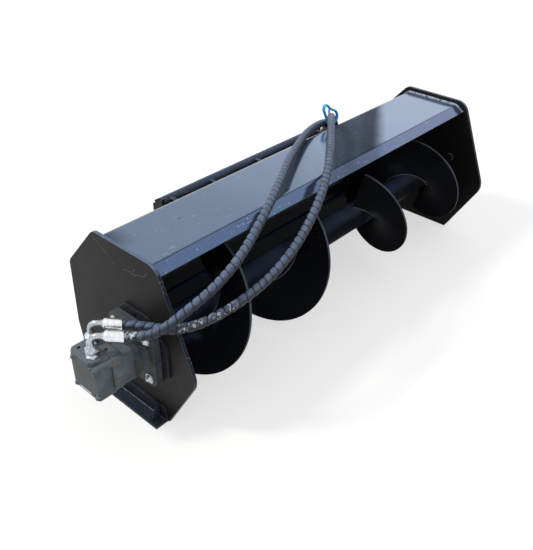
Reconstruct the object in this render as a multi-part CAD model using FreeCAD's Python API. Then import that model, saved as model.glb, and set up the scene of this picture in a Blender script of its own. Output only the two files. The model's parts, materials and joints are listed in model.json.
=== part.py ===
# Auger backfiller attachment: an open-fronted hood with a horizontal double-handed auger,
# driven by a hydraulic motor on one end plate and carried by a hooked plate at the back.
# Sizes are in millimetres. X runs along the auger away from the motor, Y to the back, Z up.
# The model is drawn from the near plate's outer face, its top front corner line and the
# ground, and is moved to the middle of its footprint when it is written out.
import FreeCAD
import Part
import math
import os

Vec = FreeCAD.Vector
X_AXIS = Vec(1, 0, 0)
Y_AXIS = Vec(0, 1, 0)
Z_AXIS = Vec(0, 0, 1)

# Hood
INNER_WIDTH = 1192.0
END_PLATE_T = 8.0
HOOD_HEIGHT = 424.0
TOP_DEPTH = 203.0
NOSE_REACH = 102.0
NOSE_HEIGHT = 175.0
KNEE_DEPTH = 314.0
KNEE_HEIGHT = 301.0
REAR_DEPTH = 321.5
HEEL_HEIGHT = 121.0
HEEL_SET_IN = 20.0
SHEET_T = 6.0
SHEET_INSET = 14.0
SHEET_BEND_R = 16.0
SHEET_BOTTOM_GAP = 6.0
LIP_SET_BACK = 28.0
LIP_LENGTH = 30.0
LIP_ANGLE = 34.0
WEAR_BAR_HEIGHT = 78.0
WEAR_BAR_T = 10.0
WEAR_BAR_BEVEL = 5.0

# Feet
FOOT_REACH = 36.0
FOOT_HEIGHT = 42.0
FOOT_T = 6.0
FOOT_START = 3.0
FOOT_END = 286.0
FOOT_GUSSET_T = 6.0
FOOT_GUSSET_INSET = 20.0
FOOT_GUSSET_SET_IN = 6.0
FOOT_GUSSET_NOSE = 6.0
FOOT_GUSSET_TOP_WIDTH = 8.0
FOOT_GUSSET_TOP_GAP = 2.0

# Auger
AXIS_Y = 73.0
AXIS_Z = 190.0
AUGER_DIA = 304.8
PITCH = 280.0
FLIGHT_T = 6.0
PIPE_OD = 73.0
PIPE_WALL = 7.0
PIPE_START = 46.0
PIPE_END_GAP = 12.0
LEFT_FLIGHT_START = 50.0
LEFT_FLIGHT_END = 517.0
LEFT_FLIGHT_PHASE = 459.0
RIGHT_FLIGHT_LENGTH = 426.0
RIGHT_FLIGHT_GAP = 22.0
RIGHT_FLIGHT_LEAD = 59.0
HUB_LENGTH = 52.0
STUB_DIA = 40.0
STUB_PLUG_LENGTH = 60.0

# Motor
SHAFT_DIA = 32.0
SHAFT_REACH = 92.0
SHAFT_DEPTH = 30.0
RUNNING_CLEARANCE = 0.05
KEY_WIDTH = 10.0
KEY_LENGTH = 40.0
KEY_HEIGHT = 8.0
KEY_PROUD = 3.0
KEY_INSET = 4.0
SHAFT_BEVEL = 3.0
SHAFT_END_GAP = 1.0
MOTOR_PLATE_T = 6.0
MOTOR_PLATE_FLATS = 190.0
FLANGE_SIZE = 146.0
FLANGE_T = 18.0
FLANGE_BOLT_SPACING = 104.4
FLANGE_BOLT_DIA = 12.0
FLANGE_CORNER_R = 20.0
SPARE_HOLE_CIRCLE = 158.0
SPARE_HOLE_DIA = 15.0
PLATE_NOSE_CLEARANCE = 1.0
FLANGE_BOLT_SEAT_DIA = 31.2
FLANGE_BOLT_HEAD_T = 8.0
FLANGE_WASHER_T = 2.5
WELD_NUT_T = 9.6
MOTOR_PLATE_CORNER_R = 6.0
NOSE_DIA = 82.0
NOSE_LENGTH = 32.0
NOSE_TIP_DIA = 56.0
NOSE_TIP_LENGTH = 6.0
NECK_DIA = 98.0
NECK_LENGTH = 18.0
NECK_FILLET = 9.0
NECK_FILLET_LENGTH = 7.0
BODY_SIZE = 92.0
BODY_TOP_CORNER = 6.0
BODY_LOW_CORNER = 20.0
JOINT_STEP = 1.0
BODY_LENGTH = 15.0
GEAR_RING_LENGTH = 25.0
PORT_HOUSING_LENGTH = 67.0
WAIST_LENGTH = 41.0
WAIST_SIZE = 78.0
WAIST_CORNER = 14.0
DECK_FRONT_SET_IN = 10.0
DECK_CORNER = 9.0
DECK_THICKNESS = 32.0
PORT_DECK_HEIGHT = 52.0
COVER_BOLT_SPACING = 71.0
COVER_BOLT_DIA = 10.0
COVER_BOLT_HUMP_R = 9.0
COVER_BOLT_HEAD_T = 9.0
COVER_BOLT_REACH = 30.0
COVER_SEAT_DEPTH = 6.0

# Hydraulic fittings
PORT_A = (-126.0, 66.0)
PORT_B = (-101.0, 101.0)
PORT_DIA = 20.0
PORT_DEPTH = 18.0
MANIFOLD_HOLE_DIA = 8.5
MANIFOLD_HOLE_DEPTH = 7.0
MANIFOLD_HOLE_SHIFT = 5.0
ADAPTER_HEX = 27.0
ADAPTER_HEX_HEIGHT = 12.0
ADAPTER_STEM = 10.0
NUT_HEX = 27.0
NUT_HEIGHT = 16.0
NUT_GAP = 0.5
TUBE_DIA = 13.0
TUBE_BEND_R = 18.0
ELBOW_RISE = 51.0
ELBOW_A_ANGLE = -49.0
ELBOW_B_ANGLE = -53.0
FERRULE_START = 30.0
FERRULE_LENGTH = 42.0
FERRULE_DIA = 25.0
FERRULE_TAPER = 3.0
FERRULE_LIP = 1.5
TUBE_COLLAR = 2.0
TUBE_COLLAR_LENGTH = 4.0
ADAPTER_STEM_GAP = 2.0
HOSE_DIA = 21.0
HOSE_1_LEAD = 36.0
HOSE_2_LEAD = 40.0
COUPLER_NECK_DIA = 20.0
COUPLER_NECK_LENGTH = 8.0
COUPLER_HEX = 30.0
COUPLER_HEX_LENGTH = 16.0
COUPLER_DIA = 28.0
COUPLER_LENGTH = 30.0
COUPLER_FACE_DIA = 24.0
COUPLER_FACE_LENGTH = 8.0
STRAP_T = 5.0
STRAP_WIDTH = 9.0
STRAP_CLEARANCE = 0.3
STRAP_LEAN = 0.9
LOOP_REACH = 25.0
LOOP_R = 11.0
LOOP_HOLE_R = 7.0

# Far bearing
BEARING_BORE_DIA = 62.0
BEARING_WIDTH = 38.0
BEARING_SQUARE = 130.0
BEARING_BASE_T = 16.0
BEARING_BOSS_DIA = 92.0
BEARING_BOLT_SPACING = 102.0
BEARING_BOLT_DIA = 14.0
SHAFT_HOLE_DIA = 84.0
STUB_END_REACH = 6.0
BEARING_NUT_T = 11.2
BEARING_NUT_BEVEL = 1.4
BEARING_STUD_REACH = 15.4
STUD_HEAD_DIA = 23.8
STUD_HEAD_T = 4.0
BEARING_CORNER_R = 18.0
BOSS_FLARE = 6.0
BOSS_END_GAP = 4.0
BEARING_SEAT_DIA = 30.8
NIPPLE_DIA = 8.0
NIPPLE_LENGTH = 12.0
BEARING_RING_INSET = 2.0
BEARING_COLLAR_WALL = 7.0
BEARING_COLLAR_OUT = 2.0
STUB_BEVEL = 2.0

# Mount plate
MOUNT_WIDTH = 618.0
MOUNT_T = 10.0
MOUNT_TOP = 346.0
MOUNT_BOTTOM = 54.0
MOUNT_BEND_R = 8.0
HOOK_REACH = 42.0
HOOK_ANGLE = 40.0
TOE_LENGTH = 34.0
TOE_ANGLE = 45.0
LATCH_SPACING = 430.0
LATCH_SLOT_LENGTH = 70.0
LATCH_SLOT_WIDTH = 26.0
LATCH_SLOT_HEIGHT = 88.0
CHEEK_T = 8.0
CHEEK_DROP = 70.0
CHEEK_SET_IN = 4.0
CHEEK_SLOPE_DROP = 24.0
RIB_T = 10.0
RIB_OFFSETS = (-287.0, -150.0, 26.0, 200.0, 300.0)
RIB_TOP = 334.0
RIB_BOTTOM = 100.0
RIB_RISE = 16.0
CHEEK_CORNER_R = 6.0

# Worked-out places
FAR_PLATE_X = END_PLATE_T + INNER_WIDTH
FAR_OUTER_X = FAR_PLATE_X + END_PLATE_T
HOOD_MIDDLE_X = END_PLATE_T + INNER_WIDTH / 2
FLANGE_BACK_X = -MOTOR_PLATE_T
FLANGE_FACE_X = FLANGE_BACK_X - FLANGE_T
NECK_END_X = FLANGE_FACE_X - NECK_LENGTH
BODY_END_X = NECK_END_X - BODY_LENGTH
GEAR_RING_END_X = BODY_END_X - GEAR_RING_LENGTH
MOTOR_END_X = GEAR_RING_END_X - PORT_HOUSING_LENGTH
PIPE_END = FAR_PLATE_X - PIPE_END_GAP
RIGHT_FLIGHT_END = FAR_PLATE_X - RIGHT_FLIGHT_GAP
RIGHT_FLIGHT_START = RIGHT_FLIGHT_END - RIGHT_FLIGHT_LENGTH
DECK_Z = AXIS_Z + PORT_DECK_HEIGHT
MOUNT_FACE_Y = REAR_DEPTH + 0.5
STUB_END_X = FAR_OUTER_X + BEARING_WIDTH + STUB_END_REACH


def hook_tip_y():
    angle = math.radians(HOOK_ANGLE)
    return MOUNT_FACE_Y + MOUNT_T + HOOK_REACH * math.cos(angle)


# Hose routes, chosen by hand, each after a straight lead out of its ferrule
HOSE_1_POINTS = [
    (-42, -45, 312), (-27, -64, 332), (-5, -76, 349), (28, -83, 363), (68, -86, 376), (114, -82, 388),
    (165, -69, 398), (220, -49, 408), (290, -21, 426), (369, 17, 437), (446, 61, 440), (516, 104, 438),
    (579, 139, 433), (636, 169, 428), (688, 195, 424), (737, 213, 421), (789, 230, 413),
    (843, 252, 397), (896, 282, 370), (943, 318, 335), (973, 354, 289), (985, 382, 236),
    (989, 400, 179), (993, 411, 123), (1007, 427, 75), (1031, 455, 38), (1062, 491, 17.5),
    (1094, 531, 17.5)]
HOSE_2_POINTS = [
    (-19, -20, 296), (-14, -49, 304), (-1, -73, 314), (22, -93, 321), (54, -105, 326), (98, -110, 329),
    (150, -111, 333), (208, -109, 341), (272, -103, 357), (345, -89, 382), (435, -60, 419),
    (522, -14, 444), (602, 41, 458), (671, 94, 464), (727, 138, 464), (776, 176, 454), (820, 210, 434),
    (865, 239, 408), (914, 266, 373), (960, 295, 328), (994, 324, 275), (1012, 343, 218),
    (1019, 354, 158), (1027, 364, 103), (1046, 382, 56), (1078, 410, 26), (1118, 439, 17.5),
    (1160, 470, 17.5)]


def unit(vector):
    result = Vec(vector)
    result.normalize()
    return result


def line(a, b):
    return Part.LineSegment(a, b).toShape()


# A closed outline in the YZ plane, each corner rounded by its own radius
def outline(corners):
    count = len(corners)
    starts = []
    ends = []
    arcs = []
    for i in range(count):
        y, z, radius = corners[i]
        here = Vec(0, y, z)
        before = Vec(0, corners[i - 1][0], corners[i - 1][1])
        after = Vec(0, corners[(i + 1) % count][0], corners[(i + 1) % count][1])
        towards_before = unit(before - here)
        towards_after = unit(after - here)
        half = towards_before.getAngle(towards_after) / 2
        if radius <= 0 or abs(half - math.pi / 2) < 1e-6:
            starts.append(here)
            ends.append(here)
            arcs.append(None)
            continue
        back = radius / math.tan(half)
        start = here + towards_before * back
        end = here + towards_after * back
        bisector = unit(towards_before + towards_after)
        middle = here + bisector * (radius / math.sin(half) - radius)
        starts.append(start)
        ends.append(end)
        arcs.append(Part.Arc(start, middle, end).toShape())
    edges = []
    for i in range(count):
        if arcs[i]:
            edges.append(arcs[i])
        after = starts[(i + 1) % count]
        if ends[i].distanceToPoint(after) > 1e-6:
            edges.append(line(ends[i], after))
    return Part.Wire(edges)


def prism(corners, x_start, x_end):
    face = Part.Face(outline(corners))
    solid = face.extrude(Vec(x_end - x_start, 0, 0))
    solid.translate(Vec(x_start, 0, 0))
    return solid


# A folded strip of one thickness: the path is its outer side, the metal lies to its right
def folded(path, thickness, bend_radius, x_start, x_end):
    inner = []
    count = len(path)
    for i in range(count):
        here = Vec(0, path[i][0], path[i][1])
        normals = []
        if i > 0:
            run = unit(here - Vec(0, path[i - 1][0], path[i - 1][1]))
            normals.append(Vec(0, run.z, -run.y))
        if i < count - 1:
            run = unit(Vec(0, path[i + 1][0], path[i + 1][1]) - here)
            normals.append(Vec(0, run.z, -run.y))
        if len(normals) == 1:
            offset = normals[0] * thickness
        else:
            bisector = unit(normals[0] + normals[1])
            offset = bisector * (thickness / bisector.dot(normals[0]))
        inner.append(here + offset)
    corners = []
    for i in range(count):
        inside = 0 < i < count - 1
        turn_in = inside and inner_side_is_short(path, i)
        radius = bend_radius + (thickness if turn_in else 0)
        corners.append((path[i][0], path[i][1], radius if inside else 0))
    for i in reversed(range(count)):
        inside = 0 < i < count - 1
        turn_in = inside and inner_side_is_short(path, i)
        radius = bend_radius + (0 if turn_in else thickness)
        corners.append((inner[i].y, inner[i].z, radius if inside else 0))
    return prism(corners, x_start, x_end)


def inner_side_is_short(path, i):
    before = Vec(0, path[i][0] - path[i - 1][0], path[i][1] - path[i - 1][1])
    after = Vec(0, path[i + 1][0] - path[i][0], path[i + 1][1] - path[i][1])
    return before.cross(after).x < 0


def box(x0, x1, y0, y1, z0, z1):
    return Part.makeBox(x1 - x0, y1 - y0, z1 - z0, Vec(x0, y0, z0))


def rod_x(diameter, x0, x1, y=AXIS_Y, z=AXIS_Z):
    return Part.makeCylinder(diameter / 2, x1 - x0, Vec(x0, y, z), X_AXIS)


# A hexagonal prism with its flats set apart by flats, bevelled at its far end
def hexagon(flats, length, base, axis, bevel=0.0):
    radius = flats / math.sqrt(3)
    points = []
    for i in range(7):
        angle = math.radians(60 * i)
        points.append(Vec(radius * math.cos(angle), radius * math.sin(angle), 0))
    solid = Part.Face(Part.makePolygon(points)).extrude(Vec(0, 0, length))
    if bevel > 0:
        top = length + radius - flats / 2 * 0.97
        cone = Part.makeCone(top + bevel, 0, top + bevel)
        solid = solid.common(cone)
    solid.Placement = FreeCAD.Placement(Vec(*base), FreeCAD.Rotation(Z_AXIS, axis))
    return solid


def square_places(spacing):
    places = []
    for side_y, side_z in ((-1, -1), (-1, 1), (1, 1), (1, -1)):
        places.append((AXIS_Y + side_y * spacing / 2, AXIS_Z + side_z * spacing / 2))
    return places


# Hood outline: the end plate's corners from the top front round the back to the toe
def end_plate_corners():
    return [
        (0, HOOD_HEIGHT, 40), (TOP_DEPTH, HOOD_HEIGHT, 26), (KNEE_DEPTH, KNEE_HEIGHT, 28),
        (REAR_DEPTH, HEEL_HEIGHT, 24), (REAR_DEPTH - HEEL_SET_IN, 0, 10), (0, 0, 0),
        (-NOSE_REACH, NOSE_HEIGHT, 52)]


# The sheet's outer side lies SHEET_INSET inside the end plates' edges
def inset_corner(a, corner, b, inset):
    first = unit(Vec(0, corner[0] - a[0], corner[1] - a[1]))
    second = unit(Vec(0, b[0] - corner[0], b[1] - corner[1]))
    inward_first = Vec(0, first.z, -first.y)
    inward_second = Vec(0, second.z, -second.y)
    bisector = unit(inward_first + inward_second)
    shift = bisector * (inset / bisector.dot(inward_first))
    return (corner[0] + shift.y, corner[1] + shift.z)


def sheet_path():
    corners = end_plate_corners()
    angle = math.radians(LIP_ANGLE)
    top = HOOD_HEIGHT - SHEET_INSET
    lip_end = (LIP_SET_BACK - LIP_LENGTH * math.cos(angle), top - LIP_LENGTH * math.sin(angle))
    rear_top = inset_corner(corners[0], corners[1], corners[2], SHEET_INSET)
    knee = inset_corner(corners[1], corners[2], corners[3], SHEET_INSET)
    heel = inset_corner(corners[2], corners[3], corners[4], SHEET_INSET)
    slope = (REAR_DEPTH - HEEL_SET_IN - heel[0] - SHEET_INSET) / (0 - heel[1])
    bottom_y = heel[0] + slope * (SHEET_BOTTOM_GAP - heel[1])
    return [lip_end, (LIP_SET_BACK, top), rear_top, knee, heel, (bottom_y, SHEET_BOTTOM_GAP)]


def make_hood_sheet():
    return folded(sheet_path(), SHEET_T, SHEET_BEND_R, END_PLATE_T, FAR_PLATE_X)


# The space that the sheet and everything in front of it fill, for fitting ribs behind it
def hood_filling():
    path = sheet_path()
    corners = [(path[0][0], path[0][1], 0)]
    for i in range(1, len(path) - 1):
        corners.append((path[i][0], path[i][1], SHEET_BEND_R + SHEET_T))
    corners.append((path[-1][0], path[-1][1], 0))
    return prism(corners, END_PLATE_T, FAR_PLATE_X)


# A flat bar along the inside of the rear wall's lower edge, with a bevelled top
def make_wear_bar():
    path = sheet_path()
    bottom = Vec(0, path[-1][0], path[-1][1])
    up = unit(Vec(0, path[-2][0], path[-2][1]) - bottom)
    forward = Vec(0, -up.z, up.y)
    root = bottom + forward * SHEET_T
    top = root + up * WEAR_BAR_HEIGHT
    corners = []
    for point in (root, top, top + forward * (WEAR_BAR_T - WEAR_BAR_BEVEL),
                  top + forward * WEAR_BAR_T - up * WEAR_BAR_BEVEL, root + forward * WEAR_BAR_T):
        corners.append((point.y, point.z, 0))
    return prism(corners, END_PLATE_T, FAR_PLATE_X)


def spare_hole_places():
    places = []
    for i in range(4):
        angle = math.radians(90 * i)
        radius = SPARE_HOLE_CIRCLE / 2
        places.append((AXIS_Y + radius * math.cos(angle), AXIS_Z + radius * math.sin(angle)))
    return places


def drill_motor_holes(plate, x_start, x_end):
    plate = plate.cut(rod_x(NOSE_DIA + PLATE_NOSE_CLEARANCE, x_start, x_end))
    for y, z in square_places(FLANGE_BOLT_SPACING):
        plate = plate.cut(rod_x(FLANGE_BOLT_DIA, x_start, x_end, y, z))
    for y, z in spare_hole_places():
        plate = plate.cut(rod_x(SPARE_HOLE_DIA, x_start, x_end, y, z))
    return plate


# The near end plate, with the four weld nuts that take the motor's flange bolts
def make_near_end_plate():
    plate = drill_motor_holes(prism(end_plate_corners(), 0, END_PLATE_T), 0, END_PLATE_T)
    for y, z in square_places(FLANGE_BOLT_SPACING):
        nut = hexagon(FLANGE_BOLT_DIA * 1.5, WELD_NUT_T, (END_PLATE_T, y, z), X_AXIS)
        bore = rod_x(FLANGE_BOLT_DIA, END_PLATE_T, END_PLATE_T + WELD_NUT_T, y, z)
        plate = plate.fuse(nut.cut(bore))
    return plate.removeSplitter()


# The far end plate, with the four welded studs that carry the bearing
def make_far_end_plate():
    plate = prism(end_plate_corners(), FAR_PLATE_X, FAR_OUTER_X)
    plate = plate.cut(rod_x(SHAFT_HOLE_DIA, FAR_PLATE_X, FAR_OUTER_X))
    stud_end = FAR_OUTER_X + BEARING_BASE_T + BEARING_STUD_REACH
    head_x = FAR_PLATE_X - STUD_HEAD_T
    for y, z in square_places(BEARING_BOLT_SPACING):
        head = rod_x(STUD_HEAD_DIA, head_x, FAR_PLATE_X, y, z)
        plate = plate.fuse([head, rod_x(BEARING_BOLT_DIA, head_x, stud_end, y, z)])
    return plate.removeSplitter()


# Feet: an angle iron along the bottom of each end plate's outer face
def make_foot_angle(face_x, side):
    flat = box(0, FOOT_REACH, FOOT_START, FOOT_END, 0, FOOT_T)
    upright = box(0, FOOT_T, FOOT_START, FOOT_END, FOOT_T, FOOT_HEIGHT)
    angle = flat.fuse(upright).removeSplitter()
    return set_outside(angle, face_x, side)


def make_foot_gusset(face_x, side, y):
    toe_x = FOOT_REACH - FOOT_GUSSET_SET_IN
    top_z = FOOT_HEIGHT - FOOT_GUSSET_TOP_GAP
    corners = [
        Vec(FOOT_T, y, FOOT_T), Vec(toe_x, y, FOOT_T), Vec(toe_x, y, FOOT_T + FOOT_GUSSET_NOSE),
        Vec(FOOT_T + FOOT_GUSSET_TOP_WIDTH, y, top_z), Vec(FOOT_T, y, top_z), Vec(FOOT_T, y, FOOT_T)]
    gusset = Part.Face(Part.makePolygon(corners)).extrude(Vec(0, FOOT_GUSSET_T, 0))
    return set_outside(gusset, face_x, side)


def largest(shape):
    return max(shape.Solids, key=lambda solid: solid.Volume)


def set_outside(shape, face_x, side):
    if side < 0:
        shape = shape.mirror(Vec(0, 0, 0), X_AXIS)
    shape.translate(Vec(face_x, 0, 0))
    return shape


# Motor plate: an octagon with both bolt patterns
def make_motor_plate():
    radius = MOTOR_PLATE_FLATS / 2 / math.cos(math.radians(22.5))
    corners = []
    for i in range(8):
        angle = math.radians(22.5 - 45 * i)
        y = AXIS_Y + radius * math.cos(angle)
        corners.append((y, AXIS_Z + radius * math.sin(angle), MOTOR_PLATE_CORNER_R))
    return drill_motor_holes(prism(corners, FLANGE_BACK_X, 0), FLANGE_BACK_X, 0)


def square_corners(size, top_corner, low_corner=None):
    half = size / 2
    corners = []
    for side_y, side_z in ((-1, 1), (1, 1), (1, -1), (-1, -1)):
        corner = low_corner if side_z < 0 and low_corner is not None else top_corner
        corners.append((AXIS_Y + side_y * half, AXIS_Z + side_z * half, corner))
    return corners


def make_flange_housing():
    flange = prism(square_corners(FLANGE_SIZE, FLANGE_CORNER_R), FLANGE_FACE_X, FLANGE_BACK_X)
    nose = rod_x(NOSE_DIA, FLANGE_BACK_X, NOSE_LENGTH)
    tip = rod_x(NOSE_TIP_DIA, NOSE_LENGTH, NOSE_LENGTH + NOSE_TIP_LENGTH)
    fillet_base = Vec(FLANGE_FACE_X - NECK_FILLET_LENGTH, AXIS_Y, AXIS_Z)
    fillet = Part.makeCone(NECK_DIA / 2, NECK_DIA / 2 + NECK_FILLET, NECK_FILLET_LENGTH, fillet_base, X_AXIS)
    neck = rod_x(NECK_DIA, NECK_END_X, FLANGE_FACE_X)
    body = prism(square_corners(BODY_SIZE, BODY_TOP_CORNER, BODY_LOW_CORNER), BODY_END_X, NECK_END_X)
    housing = flange.fuse([nose, tip, fillet, neck, body]).removeSplitter()
    bore = rod_x(SHAFT_DIA + 2 * RUNNING_CLEARANCE, -SHAFT_DEPTH, NOSE_LENGTH + NOSE_TIP_LENGTH)
    housing = housing.cut(bore)
    for y, z in square_places(FLANGE_BOLT_SPACING):
        housing = housing.cut(rod_x(FLANGE_BOLT_DIA, FLANGE_FACE_X, FLANGE_BACK_X, y, z))
        seat = rod_x(FLANGE_BOLT_SEAT_DIA, FLANGE_FACE_X - NECK_LENGTH, FLANGE_FACE_X, y, z)
        housing = housing.cut(seat)
    return housing


def make_gear_ring():
    size = BODY_SIZE - JOINT_STEP
    return prism(square_corners(size, BODY_TOP_CORNER, BODY_LOW_CORNER), GEAR_RING_END_X, BODY_END_X)


# The port housing: full size next to the gear ring, a waist with four bolt humps beyond it,
# and a flat deck that carries the ports
def make_port_housing():
    waist_start = MOTOR_END_X + WAIST_LENGTH
    body = prism(square_corners(BODY_SIZE, BODY_TOP_CORNER, BODY_LOW_CORNER), waist_start, GEAR_RING_END_X)
    waist = prism(square_corners(WAIST_SIZE, WAIST_CORNER), MOTOR_END_X, waist_start)
    half = BODY_SIZE / 2
    front = AXIS_Y - half + DECK_FRONT_SET_IN
    back = AXIS_Y + half
    deck_points = [
        (MOTOR_END_X, front + 2 * DECK_CORNER), (MOTOR_END_X + DECK_CORNER, front + DECK_CORNER),
        (GEAR_RING_END_X, front), (GEAR_RING_END_X, back),
        (MOTOR_END_X + DECK_CORNER, back), (MOTOR_END_X, back - DECK_CORNER)]
    loop = []
    for x, y in deck_points + deck_points[:1]:
        loop.append(Vec(x, y, DECK_Z - DECK_THICKNESS))
    deck = Part.Face(Part.makePolygon(loop)).extrude(Vec(0, 0, DECK_THICKNESS))
    pieces = [waist, deck]
    for y, z in square_places(COVER_BOLT_SPACING):
        pieces.append(rod_x(2 * COVER_BOLT_HUMP_R, MOTOR_END_X, waist_start, y, z))
    housing = body.fuse(pieces).removeSplitter()
    seat_x = MOTOR_END_X + COVER_SEAT_DEPTH
    for y, z in square_places(COVER_BOLT_SPACING):
        pocket = rod_x(2 * COVER_BOLT_HUMP_R + 1, MOTOR_END_X, seat_x, y, z)
        hole = rod_x(COVER_BOLT_DIA, seat_x, seat_x + COVER_BOLT_REACH, y, z)
        housing = housing.cut([pocket, hole])
    for x, y in (PORT_A, PORT_B):
        housing = housing.cut(Part.makeCylinder(PORT_DIA / 2, PORT_DEPTH, Vec(x, y, DECK_Z - PORT_DEPTH)))
    for x, y in manifold_hole_places():
        base = Vec(x, y, DECK_Z - MANIFOLD_HOLE_DEPTH)
        housing = housing.cut(Part.makeCylinder(MANIFOLD_HOLE_DIA / 2, MANIFOLD_HOLE_DEPTH, base))
    return largest(housing)


# The two tapped holes lie across the corners of the square that the ports make
def manifold_hole_places():
    shift = MANIFOLD_HOLE_SHIFT
    return [(PORT_A[0] - shift, PORT_B[1] + shift), (PORT_B[0] + shift, PORT_A[1] - shift)]


# A bolt along X: a round shank, a washer and a hexagonal head, with the head at head_x facing -X
def make_bolt(diameter, head_x, end_x, y, z, head_t, washer_t):
    head = hexagon(diameter * 1.5, head_t, (head_x - washer_t, y, z), Vec(-1, 0, 0), diameter * 0.12)
    shank = rod_x(diameter, head_x - washer_t, end_x, y, z)
    bolt = head.fuse(shank)
    if washer_t > 0:
        bolt = bolt.fuse(rod_x(diameter * 2, head_x - washer_t, head_x, y, z))
    return bolt


def make_shaft():
    bevel_x = SHAFT_REACH - SHAFT_BEVEL
    shaft = rod_x(SHAFT_DIA, SHAFT_END_GAP - SHAFT_DEPTH, bevel_x)
    bevel_base = Vec(bevel_x, AXIS_Y, AXIS_Z)
    tip = Part.makeCone(SHAFT_DIA / 2, SHAFT_DIA / 2 - SHAFT_BEVEL, SHAFT_BEVEL, bevel_base, X_AXIS)
    return shaft.fuse(tip).cut(key_solid())


def key_solid():
    start = PIPE_START + KEY_INSET
    top = AXIS_Z + SHAFT_DIA / 2 + KEY_PROUD
    low = top - KEY_HEIGHT
    return box(start, start + KEY_LENGTH, AXIS_Y - KEY_WIDTH / 2, AXIS_Y + KEY_WIDTH / 2, low, top)


def make_hub():
    hub = rod_x(PIPE_OD - 2 * PIPE_WALL, PIPE_START, PIPE_START + HUB_LENGTH)
    return hub.cut([rod_x(SHAFT_DIA, PIPE_START, PIPE_START + HUB_LENGTH), key_solid()])


def make_auger_pipe():
    pipe = rod_x(PIPE_OD, PIPE_START, PIPE_END)
    return pipe.cut(rod_x(PIPE_OD - 2 * PIPE_WALL, PIPE_START, PIPE_END))


# A screw flight between the pipe and the auger's outer edge. The helix is drawn along Z and
# turned onto X, where the angle counts from +Y towards +Z.
def make_flight(x_start, x_end, start_angle, left_handed):
    length = x_end - x_start - FLIGHT_T
    inner_low = helix_edge(PIPE_OD / 2, length, 0)
    outer_low = helix_edge(AUGER_DIA / 2, length, 0)
    inner_high = helix_edge(PIPE_OD / 2, length, FLIGHT_T)
    outer_high = helix_edge(AUGER_DIA / 2, length, FLIGHT_T)
    walls = []
    for one, other in ((inner_low, outer_low), (inner_high, outer_high),
                       (inner_low, inner_high), (outer_low, outer_high)):
        walls.append(Part.makeRuledSurface(one, other, 1))
    for end in (0, -1):
        ring = [inner_low.Vertexes[end].Point, outer_low.Vertexes[end].Point,
                outer_high.Vertexes[end].Point, inner_high.Vertexes[end].Point]
        walls.append(Part.Face(Part.makePolygon(ring + ring[:1])))
    flight = closed_solid(walls)
    if left_handed:
        flight = flight.mirror(Vec(0, 0, 0), Y_AXIS)
    flight.rotate(Vec(0, 0, 0), Z_AXIS, start_angle)
    flight.rotate(Vec(0, 0, 0), Vec(1, 1, 1), 120)
    flight.translate(Vec(x_start, AXIS_Y, AXIS_Z))
    return flight


def helix_edge(radius, length, shift):
    helix = Part.makeHelix(PITCH, length, radius)
    helix.translate(Vec(0, 0, shift))
    return helix.Edges[0]


def make_left_flight():
    angle = 180 - (LEFT_FLIGHT_START - LEFT_FLIGHT_PHASE) * 360 / PITCH
    return make_flight(LEFT_FLIGHT_START, LEFT_FLIGHT_END, angle, True)


def make_right_flight():
    angle = 180 - RIGHT_FLIGHT_LEAD * 360 / PITCH
    return make_flight(RIGHT_FLIGHT_START, RIGHT_FLIGHT_END, angle, False)


def make_stub_shaft():
    plug = rod_x(PIPE_OD - 2 * PIPE_WALL, PIPE_END - STUB_PLUG_LENGTH, PIPE_END)
    bevel_x = STUB_END_X - STUB_BEVEL
    journal = rod_x(STUB_DIA, PIPE_END, bevel_x)
    bevel_base = Vec(bevel_x, AXIS_Y, AXIS_Z)
    tip = Part.makeCone(STUB_DIA / 2, STUB_DIA / 2 - STUB_BEVEL, STUB_BEVEL, bevel_base, X_AXIS)
    return plug.fuse([journal, tip])


def make_bearing_housing():
    base = prism(square_corners(BEARING_SQUARE, BEARING_CORNER_R), FAR_OUTER_X, FAR_OUTER_X + BEARING_BASE_T)
    boss_start = FAR_OUTER_X + BEARING_BASE_T
    boss_length = BEARING_WIDTH - BEARING_BASE_T - BOSS_END_GAP
    boss_base = Vec(boss_start, AXIS_Y, AXIS_Z)
    boss_radius = BEARING_BOSS_DIA / 2
    boss = Part.makeCone(boss_radius + BOSS_FLARE, boss_radius, boss_length, boss_base, X_AXIS)
    housing = base.fuse(boss)
    bore = rod_x(BEARING_BORE_DIA + 2 * RUNNING_CLEARANCE, FAR_OUTER_X, FAR_OUTER_X + BEARING_WIDTH)
    housing = housing.cut(bore)
    nipple_base = Vec(boss_start + boss_length / 2, AXIS_Y, AXIS_Z + BEARING_BOSS_DIA / 2)
    nipple = Part.makeCylinder(NIPPLE_DIA / 2, NIPPLE_LENGTH, nipple_base, Z_AXIS)
    housing = housing.fuse(nipple)
    for y, z in square_places(BEARING_BOLT_SPACING):
        housing = housing.cut(rod_x(BEARING_BOLT_DIA, FAR_OUTER_X, FAR_OUTER_X + BEARING_WIDTH, y, z))
        seat = rod_x(BEARING_SEAT_DIA, boss_start, FAR_OUTER_X + BEARING_WIDTH, y, z)
        housing = housing.cut(seat)
    return housing


def make_bearing_ring():
    collar_start = FAR_OUTER_X + BEARING_WIDTH - BOSS_END_GAP
    collar_end = FAR_OUTER_X + BEARING_WIDTH + BEARING_COLLAR_OUT
    ring = rod_x(BEARING_BORE_DIA, FAR_OUTER_X + BEARING_RING_INSET, collar_start)
    collar = rod_x(STUB_DIA + 2 * BEARING_COLLAR_WALL, collar_start, collar_end)
    return ring.fuse(collar).cut(rod_x(STUB_DIA, FAR_OUTER_X, collar_end))


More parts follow.
